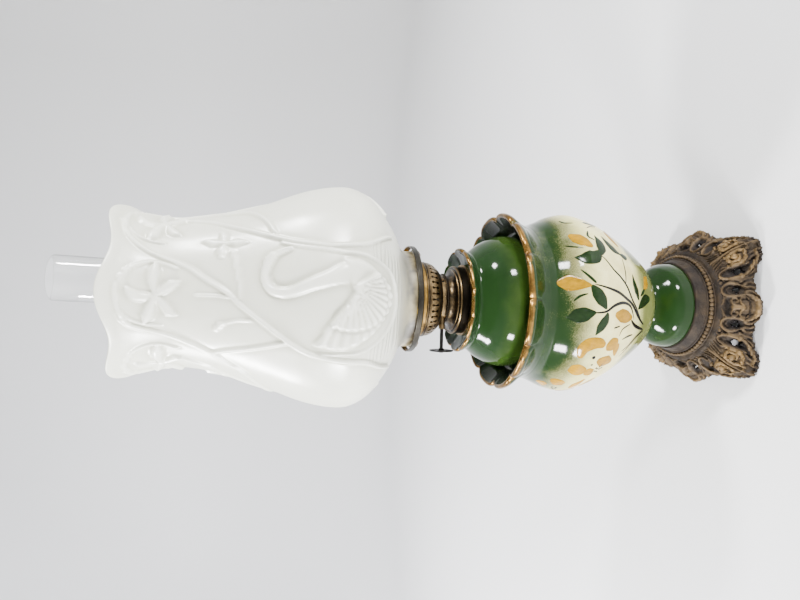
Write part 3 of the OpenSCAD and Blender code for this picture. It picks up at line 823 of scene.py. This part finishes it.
def slip(name, dark, light):
    """Brushed slip under glaze: streaked, denser along the stroke's middle, and each stroke a little
    different."""
    made = Finish(name, Roughness=0.12, Specular_IOR_Level=GLAZE_SHEEN)
    streaks = made.noise(380.0, 5.0, 0.6, (1, 1, 0.35))
    load = made.math("ADD", made.math("MULTIPLY", made.attribute("middle"), -0.35),
                     made.math("MULTIPLY", made.attribute("stroke"), 0.35))
    tone = made.math("ADD", made.remap(streaks, 0.3, 0.7, 0.1, 0.9), load)
    made.set(Base_Color=made.mix(tone, dark, light))
    made.set(Normal=made.bump(streaks, 0.0002, 0.25))
    return made


slip("black_slip", tint(6, 6, 7), tint(18, 18, 17)).put(stems)
slip("leaf_slip", tint(11, 24, 8), tint(21, 38, 13)).put(leaves)
slip("ochre_slip", tint(116, 84, 0), tint(154, 114, 0)).put(flowers)

# ------------------------------------------------------------------ font
# The oil container is a second pot that drops into the vase: a plain bowl below, a green dome above and
# a small scalloped collar with a gilt edge, all in one glaze.

FONT_NOTCH = 12.0
font_ledge = 219.1
bowl_line = [(0, 152), (18, 152), (30, 152.2), (42, 155), (50.5, 163), (54, 174), (54.5, 186),
             (54.5, font_ledge)]
dome_line = [(60.2, font_ledge), (61.4, 224), (61.9, 229), (62, 235), (60.6, 241.4), (58.4, 247.4),
             (53.6, 256), (48.4, 262.4), (45.4, 266.2), (45, 268.4), (46.4, 271), (48.0, 272.8),
             (48.9, 274.8), (48.3, 276.9), (46.6, 277.3), (44.8, 275.8), (42, 273.8), (36, 271.4),
             (30, 271.2), (24.5, 271.2)]
hollow_line = [(24.5, 265), (38, 261.5), (49, 251.5), (56.6, 238), (55.4, 227), (49.6, 214), (49.6, 186),
               (47.6, 173), (41, 161.5), (28, 157.4), (14, 157), (0, 157)]
font_line = np.concatenate([smooth_line(bowl_line, 3), smooth_line(dome_line, 4),
                            smooth_line(hollow_line, 3)])
font = scalloped("font_pot", font_line, FONT_NOTCH, 267, 275, 2.6, 1.6, 300)
settle(font, "font", "font_glaze", "font")
r, azimuth, z = cylindrical(font)
share = lobe(azimuth, FONT_NOTCH)
warmer = 0.34 * ease(-z, -258, -240) + 0.24 * ease(-z, -246, -222) * ease(-np.abs(azimuth - 10), -110, -20)
mark(font, "green_top", 1.1 - warmer * (z > font_ledge))
mark(font, "green_low", np.zeros(len(z)))
mark(font, "green_foot", np.zeros(len(z)))
in_dome = (r < 57) & (z < 266) & (r < np.interp(z, [219, 235, 266], [56, 58, 44]))
mark(font, "inside", (z < font_ledge - 4) | in_dome)
gilt_from = 46.8 - 2.4 * share
gilt_low = 274.9 - 1.4 * share
mark(font, "gilt", ease(r, gilt_from, gilt_from + 0.6) * ease(z, gilt_low, gilt_low + 0.7))
dome_green = tint(38, 54, 18)
font_glaze = glaze("green_glaze", tint(32, 49, 15), tint(17, 37, 12), dome_green, dome_green,
                   tint(50, 72, 24))
font_glaze.put(font)

plaster = Finish("plaster", Roughness=0.9)
plaster.set(Base_Color=plaster.mix(plaster.noise(180.0, 5.0), tint(176, 168, 150), tint(208, 202, 188)))
plaster.set(Normal=plaster.bump(plaster.noise(600.0, 4.0), 0.0003, 0.7))
plaster.put(nodes["collar_cement"])

# ------------------------------------------------------------------ burner
# Spun and pressed brass, gone brown: a dark threaded collar cemented in the font, the burner's body with
# its waist and pierced basket, the gallery that grips the chimney, and the tubes that guide the wick.


def brass(name, bright, brown, black, gloss=(0.24, 0.5)):
    """Old lacquered brass: bright where it is rubbed, brown over most of it, nearly black in the crevices,
    with fine turning marks round the axis."""
    made = Finish(name, Metallic=1.0)
    cloud = made.noise(150.0, 6.0, 0.62)
    stain = made.ramp(cloud, (0.36, black), (0.5, brown), (0.7, bright))
    edge = made.node("NewGeometry", {}).outputs["Pointiness"]
    rub = made.remap(edge, 0.5, 0.56)
    crevice = made.remap(edge, 0.44, 0.495)
    colour = made.mix(rub, stain, bright)
    made.set(Base_Color=made.mix(crevice, black, colour))
    made.set(Roughness=made.remap(cloud, 0.3, 0.7, gloss[1], gloss[0]))
    turning = made.noise(1500.0, 2.0, 0.5, (0.15, 0.15, 1.0))
    made.set(Normal=made.bump(turning, 0.0001, 0.35))
    return made


old_brass = brass("old_brass", tint(100, 83, 57), tint(50, 42, 31), tint(16, 13, 10))
for name in ["burner_base", "burner_basket", "chimney_gallery", "wick_tube_outer", "wick_tube_inner",
             "spindle_gland"]:
    old_brass.put(nodes[name])
dark_brass = brass("dark_collar", tint(26, 22, 17), tint(14, 12, 10), tint(7, 6, 6), (0.35, 0.55))
dark_brass.put(nodes["font_collar"])
thin_ring = brass("collar_ring", tint(120, 96, 56), tint(70, 56, 36), tint(28, 22, 15), (0.25, 0.45))
thin_ring.put(nodes["collar_trim"])

basket_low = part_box("burner_basket")[0].z / MM
basket_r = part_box("burner_basket")[1].x / MM
waist_beads = bead_ring("waist_beads", 23.9, 291.0, 0.75, 96, 1.3, 0.3, 6)
edge_beads = bead_ring("basket_edge_beads", 27.7, basket_low + 0.9, 0.7, 110, 1.0, 0.25, 6)
brow_beads = bead_ring("basket_brow_beads", basket_r - 0.4, 314.6, 0.55, 130, 1.0, 0.3, 6)
for piece, finish in [(waist_beads, dark_brass), (edge_beads, dark_brass), (brow_beads, old_brass)]:
    settle(piece, "burner", "brass")
    finish.put(piece)

# ------------------------------------------------------------------ wick
# A tube of woven cotton round the inner guide tube, with a flat tail in the oil; its top edge is charred.

cotton = Finish("wick_cotton", Roughness=0.95, Sheen_Weight=0.3)
weave = cotton.node("TexWave", {"Vector": cotton.place(), "Scale": 420.0, "Distortion": 1.5,
                                "Detail": 2.0}, bands_direction="Z").outputs[1]
fluff = cotton.noise(900.0, 4.0)
yarn = cotton.mix(fluff, tint(188, 176, 148), tint(216, 208, 186))
wick_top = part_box("wick")[1].z
charred = cotton.remap(cotton.axis("Z"), wick_top - 0.0035, wick_top - 0.001)
cotton.set(Base_Color=cotton.mix(charred, yarn, tint(22, 18, 15)))
cotton.set(Normal=cotton.bump(cotton.math("ADD", weave, fluff), 0.0003, 0.8))
cotton.put(nodes["wick"])

# ------------------------------------------------------------------ shade ring
# A pressed band and tray that sits on the basket and carries the shade. Outside it has a satin grey-brown
# skin; inside it and on the three spring clips the brass still shows.

ring_skin = Finish("ring_patina", Metallic=0.9)
r_squared = ring_skin.math("ADD", ring_skin.math("POWER", ring_skin.axis("X"), 2.0),
                           ring_skin.math("POWER", ring_skin.axis("Y"), 2.0))
out_r = ring_skin.math("SQRT", r_squared)
ring_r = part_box("shade_ring")[1].x
outer = ring_skin.remap(out_r, ring_r - 0.0009, ring_r - 0.0005)
mottle = ring_skin.noise(110.0, 6.0, 0.6)
skin_tone = ring_skin.ramp(mottle, (0.3, tint(27, 25, 22)), (0.7, tint(50, 47, 40)))
within = ring_skin.ramp(mottle, (0.35, tint(64, 48, 22)), (0.65, tint(134, 104, 50)))
ring_skin.set(Base_Color=ring_skin.mix(outer, within, skin_tone))
ring_skin.set(Roughness=ring_skin.remap(mottle, 0.3, 0.7, 0.42, 0.3))
ring_skin.set(Normal=ring_skin.bump(ring_skin.noise(1300.0, 2.0, 0.5, (0.2, 0.2, 1.0)), 0.0001, 0.3))
ring_skin.put(nodes["shade_ring"])
clip_brass = brass("clip_brass", tint(226, 184, 84), tint(190, 146, 60), tint(110, 80, 34), (0.2, 0.35))
clip_brass.put(nodes["shade_clips"])
clip_brass.put(nodes["clip_rivets"])

# ------------------------------------------------------------------ chimney
# Clear blown glass, wide at the foot and narrow above, with fire-polished rims; it leans a little in the
# prongs that hold it.

CHIMNEY_WALL = 1.5
CHIMNEY_LEAN = math.radians(1.9)
CHIMNEY_FOOT_R = 26.5
CHIMNEY_TUBE_R = 19.0
chimney_low, chimney_high = (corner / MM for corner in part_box("chimney"))
tipped = (CHIMNEY_FOOT_R + CHIMNEY_TUBE_R) * math.sin(CHIMNEY_LEAN)
chimney_len = (chimney_high.z - chimney_low.z - tipped) / math.cos(CHIMNEY_LEAN)
shoulder = smooth_line([(CHIMNEY_FOOT_R, 38), (25.4, 45), (20.6, 54), (CHIMNEY_TUBE_R, 62)], 8)
half_wall = CHIMNEY_WALL / 2
chimney_line = np.concatenate([
    [(CHIMNEY_FOOT_R, half_wall), (CHIMNEY_FOOT_R, 20)], shoulder,
    [(CHIMNEY_TUBE_R, chimney_len / 2), (CHIMNEY_TUBE_R, chimney_len - half_wall)],
    arc((CHIMNEY_TUBE_R - half_wall, chimney_len - half_wall), half_wall, 20, 160, 7),
    [(CHIMNEY_TUBE_R - CHIMNEY_WALL, chimney_len / 2)], moved_in(shoulder, CHIMNEY_WALL)[::-1],
    [(CHIMNEY_FOOT_R - CHIMNEY_WALL, 20), (CHIMNEY_FOOT_R - CHIMNEY_WALL, half_wall)],
    arc((CHIMNEY_FOOT_R - half_wall, half_wall), half_wall, 200, 340, 7)])
chimney = turned("glass_chimney", chimney_line, 144, sharp=None)
stand_at = Vector((0, 0, chimney_low.z + CHIMNEY_FOOT_R * math.sin(CHIMNEY_LEAN))) * MM
chimney.data.transform(Matrix.Translation(stand_at) @ Matrix.Rotation(CHIMNEY_LEAN, 4, "Y"))
settle(chimney, "chimney", "clear_glass", "chimney")
clear = Finish("clear_glass", Base_Color=(0.995, 1.0, 0.995, 1.0), Transmission_Weight=1.0, IOR=1.47)
film = clear.noise(60.0, 3.0)
clear.set(Roughness=clear.remap(film, 0.5, 0.8, 0.0, 0.015))
clear.set(Normal=clear.bump(clear.noise(24.0, 1.0, 0.4, (1, 1, 0.25)), 0.0008, 0.05))
clear.put(chimney)

# ------------------------------------------------------------------ shade
# Pressed glass, acid-frosted: a bulb drawn up into a flared rim of six lobes. The mould's relief repeats
# three times: a swan in an oval of stems, and a smooth swelling petal beside it. Six flower medallions
# stand below the rim. Points are (azimuth from the swan's middle, height).

SHADE_REPEAT = 120
SHADE_COLUMNS = 168
SHADE_WALL = 2.4
SHADE_NECK_R = 44.0
RIM_VALLEY = 7.0
RIM_DROP = 3.4
RIM_PINCH = 3.4
PETAL_MIDDLE = 57
shade_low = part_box("shade")[0].z / MM
shade_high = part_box("shade")[1].z / MM
flank = smooth_line([(SHADE_NECK_R, 332), (49.5, 336.4), (68.5, 347), (86.8, 363), (95.0, 380),
                     (95.4, 397), (90.2, 420), (78.6, 452), (67.8, 488), (62.6, 522), (65.6, 550),
                     (73.2, shade_high)], 24)
OVAL = [(-28, 412), (-27, 394), (-26.5, 382), (-24.5, 371), (-21, 362), (-15, 353.4), (-5, 349.3),
        (6, 350.6), (14.6, 356), (18.3, 367), (20, 377), (20.6, 391), (22.5, 408), (25, 425), (28.5, 439)]
STRANDS = [
    ([(54, 558.5), (43, 554), (35.5, 547), (28.6, 536), (23, 521), (17, 507), (10, 496), (2, 480),
      (-7.5, 466), (-19, 444), (-24, 432)], [1.6, 1.9, 2.0, 2.2], 1.3),
    ([(-19, 444), (-24, 432), (-28, 418), (-30, 400), (-31, 385), (-34, 370), (-48, 352)],
     [2.2, 2.6, 2.7, 2.4, 1.6], 1.7),
    ([(0, 556), (-13, 554.5), (-21, 549), (-24, 544), (-27.5, 533), (-31, 521), (-36, 507), (-42.5, 492),
      (-50, 480), (-57, 466), (-72, 452), (-84, 444)], [1.5, 1.9, 2.1, 1.9], 1.3),
    ([(-24, 432), (-27.5, 444), (-32.5, 460), (-38, 478), (-42.6, 490)], [2.2, 1.9, 1.5], 1.1),
    ([(40, 353), (27, 372), (24, 397), (25.5, 414), (29, 432), (33, 444), (39.5, 460), (48, 477), (58, 494),
      (65.5, 513), (68, 521)], [1.5, 2.0, 2.2, 2.0, 1.4], 1.3),
    (OVAL, [1.0, 1.5, 1.6, 1.7, 1.5], 1.0),
    ([(-2, 468), (7, 469.6), (17, 472.5), (27, 475.5)], [1.6, 1.5], 0.8),
    ([(-15, 461), (-15.6, 471), (-19, 483)], [1.5, 1.4], 0.8),
    ([(-2, 477), (-1, 489), (-1, 503)], [1.5, 1.2], 0.7),
]
FLOWER = [
    ([(34, 481), (28.5, 484), (23.4, 484)], [1.2, 4.0, 0.8], 1.3),
    ([(34, 481), (35.4, 490), (37.4, 498)], [1.2, 4.4, 0.8], 1.3),
    ([(34, 481), (39.4, 483), (44, 484)], [1.2, 3.8, 0.8], 1.2),
    ([(34, 481), (33.4, 473), (32.6, 465)], [1.2, 4.2, 0.8], 1.3),
    ([(-19, 483), (-23, 486.4)], [2.6, 2.2], 1.4),
]
MEDALLION = [
    ([(-2, 530), (-10, 533.6), (-16, 536), (-20.6, 538)], [1.4, 4.6, 5.0, 1.0], 2.0),
    ([(-2, 530), (8, 532.4), (14, 532), (20, 530.6)], [1.4, 4.2, 5.0, 1.4], 2.0),
    ([(-2, 530), (-3.4, 538), (-2, 545), (2, 549)], [1.6, 4.4, 4.6, 1.6], 1.5),
    ([(-2, 530), (-8, 525), (-12.6, 521), (-15, 517)], [1.4, 4.2, 4.4, 1.2], 1.9),
    ([(-2, 530), (2, 524), (5, 519), (7, 514)], [1.4, 4.0, 4.2, 1.2], 1.9),
    ([(0, 557), (5.5, 555.4), (15.6, 548), (20.7, 537), (20.8, 527), (17, 516)], [1.0, 1.3, 1.5], 1.0),
    ([(0, 557), (-9, 555.4), (-17, 549), (-22, 538), (-23, 528)], [1.0, 1.3, 1.4], 1.0),
]
NECK = ([(11.6, 384), (11.2, 391), (8.4, 404), (5.7, 417), (2.1, 431), (1.8, 441), (4.2, 447.6),
         (9.4, 450.8), (14.6, 450.2), (18.6, 448)], [9.5, 8.8, 6.4, 5.2, 4.4, 4.0, 3.8, 3.7, 3.6, 3.6], 2.3)
HEAD = ([(15, 450), (19, 448), (21.4, 445)], [3.4, 4.4, 3.6], 2.6)
BEAK = ([(21, 445.6), (22.9, 440.6), (24.1, 435), (24.5, 431)], [3.0, 2.4, 1.6, 0.5], 1.9)
BODY = [(6, 391), (16.8, 394.5), (18.6, 387), (18.2, 379), (15.4, 370), (11, 361.6), (5.6, 355.6),
        (-1.6, 354.6), (-8.3, 358), (-13.6, 363), (-18.4, 370), (-22, 379), (-25, 390), (-25.6, 401),
        (-23.6, 416), (-17.6, 409.8), (-13.7, 407.6), (-7.5, 398.5), (-1.7, 390.6), (2.5, 387.6)]
WING_FROM = (4.5, 387)
WING_FEATHERS = 15


def arc_length(height):
    """Distance along the shade's side, in millimetres, to a height on it."""
    run = np.concatenate([[0], np.cumsum(np.hypot(*np.diff(flank, axis=0).T))])
    return np.interp(height, flank[:, 1], run)


def inside_outline(x, y, outline):
    """Whether each place is inside the outline: a ray to the right crosses it an odd number of times."""
    p = np.array(outline, float)
    q = np.roll(p, -1, axis=0)
    odd = np.zeros(x.shape, bool)
    for (x0, y0), (x1, y1) in zip(p, q):
        crosses = (y0 > y) != (y1 > y)
        odd ^= crosses & (x < x0 + (x1 - x0) * (y - y0) / (y1 - y0 + 1e-12))
    return odd


def outline_depth(x, y, scale, outline):
    """How deep each place lies inside the outline, in millimetres, below nothing outside it."""
    p = smooth_line(outline + outline[:1], 3)
    nearest = np.full(x.shape, 1e9)
    for gap, _ in stretches(x, y, p, scale):
        nearest = np.minimum(nearest, gap)
    return np.where(inside_outline(x, y, p[:-1]), nearest, -nearest)


def rise(points):
    """The same points with heights turned into distances along the shade's side."""
    return [(a, float(arc_length(h))) for a, h in points]


def swan(azimuth, along, scale):
    """The swan's height: a domed body carrying a fan of feathers that widen from the shoulder and end in
    round tips, tail feathers as ribs, and a neck, head and beak as rounded bars."""
    depth = outline_depth(azimuth, along, scale, rise(BODY))
    high = 2.2 * ease(depth, -0.4, 5.0)
    root = rise([WING_FROM])[0]
    out = np.stack([(azimuth - root[0]) * scale, along - root[1]])
    reach = np.hypot(*out)
    angle = np.degrees(np.arctan2(out[1], out[0]))
    fan = (angle % 360 - 150) / (300 - 150) * WING_FEATHERS
    in_fan = ease(angle % 360, 146, 154) * ease(-(angle % 360), -306, -298)
    tip = 32 - 9 * ease(angle % 360, 225, 300)
    ribs = np.abs(np.sin(fan * math.pi)) ** 0.8
    feather = in_fan * ribs * ease(reach, 3, 10) * ease(-reach, -tip - 1.5 * ribs, -tip + 1.5)
    step = in_fan * ease(-reach, -tip - 2 * ribs, -tip + 1) * 0.9
    tail_ribs = in_fan * np.abs(np.sin((fan * 0.9 + 0.3) * math.pi)) * ease(reach, tip, tip + 4)
    high = high + ease(depth, 0, 2.5) * (1.25 * feather + step + 0.9 * tail_ribs)
    neck = bar(azimuth, along, smooth_line(rise(NECK[0]), 4), NECK[1], NECK[2], scale, 0.6)
    head = bar(azimuth, along, smooth_line(rise(HEAD[0]), 4), HEAD[1], HEAD[2], scale, 0.6)
    beak = bar(azimuth, along, smooth_line(rise(BEAK[0]), 4), BEAK[1], BEAK[2], scale, 0.7)
    return np.maximum.reduce([high, neck, head, beak])


def shade_relief(azimuth, height, r):
    """How far the mould's pattern stands out of the smooth bulb, for one repeat."""
    along = arc_length(height)
    scale = r * math.pi / 180
    lines = np.zeros(r.shape)
    half = SHADE_REPEAT / 2
    whole = [(*strand, shift) for shift in (-SHADE_REPEAT, 0, SHADE_REPEAT) for strand in STRANDS + FLOWER]
    twice = [(*strand, shift) for shift in (-half, 0, half) for strand in MEDALLION]
    for points, widths, stands, shift in whole + twice:
        line = smooth_line([(a + shift, h) for a, h in rise(points)], 4)
        if line[:, 0].min() < half + 8 and line[:, 0].max() > -half - 8:
            lines = np.maximum(lines, bar(azimuth, along, line, widths, stands, scale))
    petal = np.abs(azimuth % SHADE_REPEAT - PETAL_MIDDLE)
    swell = 2.0 * ease(-petal, -31, -12) * ease(height, 345, 385) * ease(-height, -485, -420)
    hollow = -0.7 * ease(-np.abs(azimuth + 1), -26, -12) * ease(height, 352, 380) * ease(-height, -465, -430)
    return np.maximum(lines, swan(azimuth, along, scale)) + swell + hollow


def crisper(high):
    """Deepens a pattern's edges: the relief, plus its difference from its own average over some rows and
    columns. Gives the new relief, and that difference, which the material turns into painted shade and
    painted highlight."""
    soft = high
    for _ in range(8):
        soft = (soft + np.roll(soft, 1, 1) + np.roll(soft, -1, 1)) / 3
        soft[1:-1] = (soft[:-2] + soft[1:-1] + soft[2:]) / 3
    edge = high - soft
    return 1.1 * high + 0.8 * edge, edge


def shade_grid():
    """The shade's outside from the neck up, round the rolled rim, and its smooth inside down again. The
    rows lie closer where the swan is. The rim's lobes stretch the rows above the swan's head: the height
    falls and the radius shrinks by half a cosine of six times the azimuth. Gives the points, how rippled
    each is, and how far its relief stands above the relief around it."""
    azimuth = (np.arange(SHADE_COLUMNS) + 0.5) / SHADE_COLUMNS * SHADE_REPEAT - SHADE_REPEAT / 2
    density = np.interp(flank[:, 1], [332, 345, 352, 455, 470, 565, 571], [1, 1, 1.7, 1.5, 1, 1.1, 1.6])
    step = np.hypot(*np.diff(flank, axis=0).T) * density[1:]
    reach = np.concatenate([[0], np.cumsum(step)])
    rows = np.interp(np.linspace(0, reach[-1], 154), reach, np.arange(len(flank)))
    r = np.interp(rows, np.arange(len(flank)), flank[:, 0])[:, None]
    z = np.interp(rows, np.arange(len(flank)), flank[:, 1])[:, None]
    valley = 0.5 - 0.5 * np.cos(np.radians(azimuth * 6))[None, :]
    stretch = ease(z, 505, shade_high)
    height = z - stretch * (RIM_DROP + RIM_VALLEY * valley)
    r = r - RIM_PINCH * stretch ** 2 * valley
    high = shade_relief(np.broadcast_to(azimuth[None, :], r.shape), height, r)
    high, edge = crisper(high * ease(height, 338, 346) * ease(-z, -shade_high + 1, -shade_high + 8))
    lip = 0.9 * ease(z, shade_high - 7, shade_high - 2.5)
    slope = np.gradient(np.broadcast_to(z, r.shape), axis=0)
    flare = np.gradient(r, axis=0)
    length = np.hypot(slope, flare)
    out_r, out_z = slope / length, -flare / length
    outer_r = r + (high + lip) * out_r
    outer_z = height + (high + lip) * out_z
    inner = slice(-2, None, -4)
    inner_r = (r - SHADE_WALL * out_r)[inner] + 0.55 * high[inner]
    inner_z = (height - SHADE_WALL * out_z)[inner]
    turn = np.radians(np.linspace(20, 160, 6))[:, None]
    roll_r = r[-1] + lip[-1] - SHADE_WALL / 2 + (SHADE_WALL / 2 + 0.1) * np.cos(turn)
    roll_z = height[-1] + 0.9 * np.sin(turn)
    every_column = np.ones(SHADE_COLUMNS)
    neck_out = np.outer([SHADE_NECK_R] * 3, every_column)
    neck_out_z = np.outer([shade_low + 0.8, shade_low + 4, 329.0], every_column)
    neck_in = np.outer([SHADE_NECK_R - SHADE_WALL, SHADE_NECK_R - SHADE_WALL, 43.4], every_column)
    neck_in_z = np.outer([328.0, shade_low + 0.8, shade_low], every_column)
    every_r = np.concatenate([neck_out, outer_r, roll_r, inner_r, neck_in])
    every_z = np.concatenate([neck_out_z, outer_z, roll_z, inner_z, neck_in_z])
    count = len(every_r)
    full = (azimuth[None, :] + np.arange(3)[:, None] * SHADE_REPEAT).reshape(-1)
    points = around(np.tile(every_r, 3), np.tile(every_z, 3), np.broadcast_to(full, (count, len(full))))
    wet = ease(-height, -378, -366) * ease(height, 340, 348)
    inside_oval = outline_depth(np.broadcast_to(azimuth[None, :], r.shape), arc_length(height),
                                r * math.pi / 180, rise(OVAL))
    wet = wet * ease(-inside_oval, 0.5, 2.5) * ease(np.abs(azimuth % SHADE_REPEAT - PETAL_MIDDLE), 24, 32)
    ripples = np.zeros(every_r.shape)
    stands = np.zeros(every_r.shape)
    outside = slice(len(neck_out), len(neck_out) + len(high))
    ripples[outside] = wet
    stands[outside] = edge
    return points, np.tile(ripples, 3), np.tile(stands, 3)


points, ripples, stands = shade_grid()
shade = skin("pressed_glass_shade", points, grid_faces(*ripples.shape, True))
mark(shade, "ripples", ripples)
mark(shade, "relief", stands)
settle(shade, "shade", "frosted_glass", "shade")

frost = Finish("frosted_glass", IOR=1.5, Transmission_Weight=0.3, Specular_IOR_Level=0.9)
film = frost.noise(70.0, 5.0, 0.6)
milk = frost.mix(film, tint(236, 237, 217), tint(247, 247, 232))
# Painted shade in the grooves beside raised lines, painted highlight on their crests.
edge = frost.remap(frost.attribute("relief"), -0.45, 0.45)
hollow = frost.mix(0.35, milk, tint(132, 132, 112))
painted_crest_highlight = frost.mix(0.35, milk, tint(242, 243, 238))
# Painted shade on the neck: the ring's shadow and its brass, dimly seen through the glass.
painted_neck_mask = frost.remap(frost.axis("Z"), 0.328, 0.35)
painted_neck_shade = frost.ramp(frost.noise(45.0, 3.0, 0.6), (0.38, tint(58, 50, 36)), (0.6, tint(146, 135, 102)))
frost.set(Base_Color=frost.mix(painted_neck_mask, painted_neck_shade, frost.mix(edge, hollow, painted_crest_highlight)))
frost.set(Roughness=frost.remap(film, 0.3, 0.7, 0.29, 0.35))
water = frost.node("TexWave", {"Vector": frost.place((0.15, 0.15, 1)), "Scale": 90.0, "Distortion": 5.0,
                               "Detail": 2.0, "Detail Scale": 2.0}, bands_direction="Z").outputs[1]
wet = frost.math("MULTIPLY", frost.attribute("ripples"), water)
sand = frost.bump(frost.noise(1800.0, 2.0), 0.0001, 0.25)
frost.set(Normal=frost.bump(wet, 0.0012, 0.5, sand))
frost.put(shade)
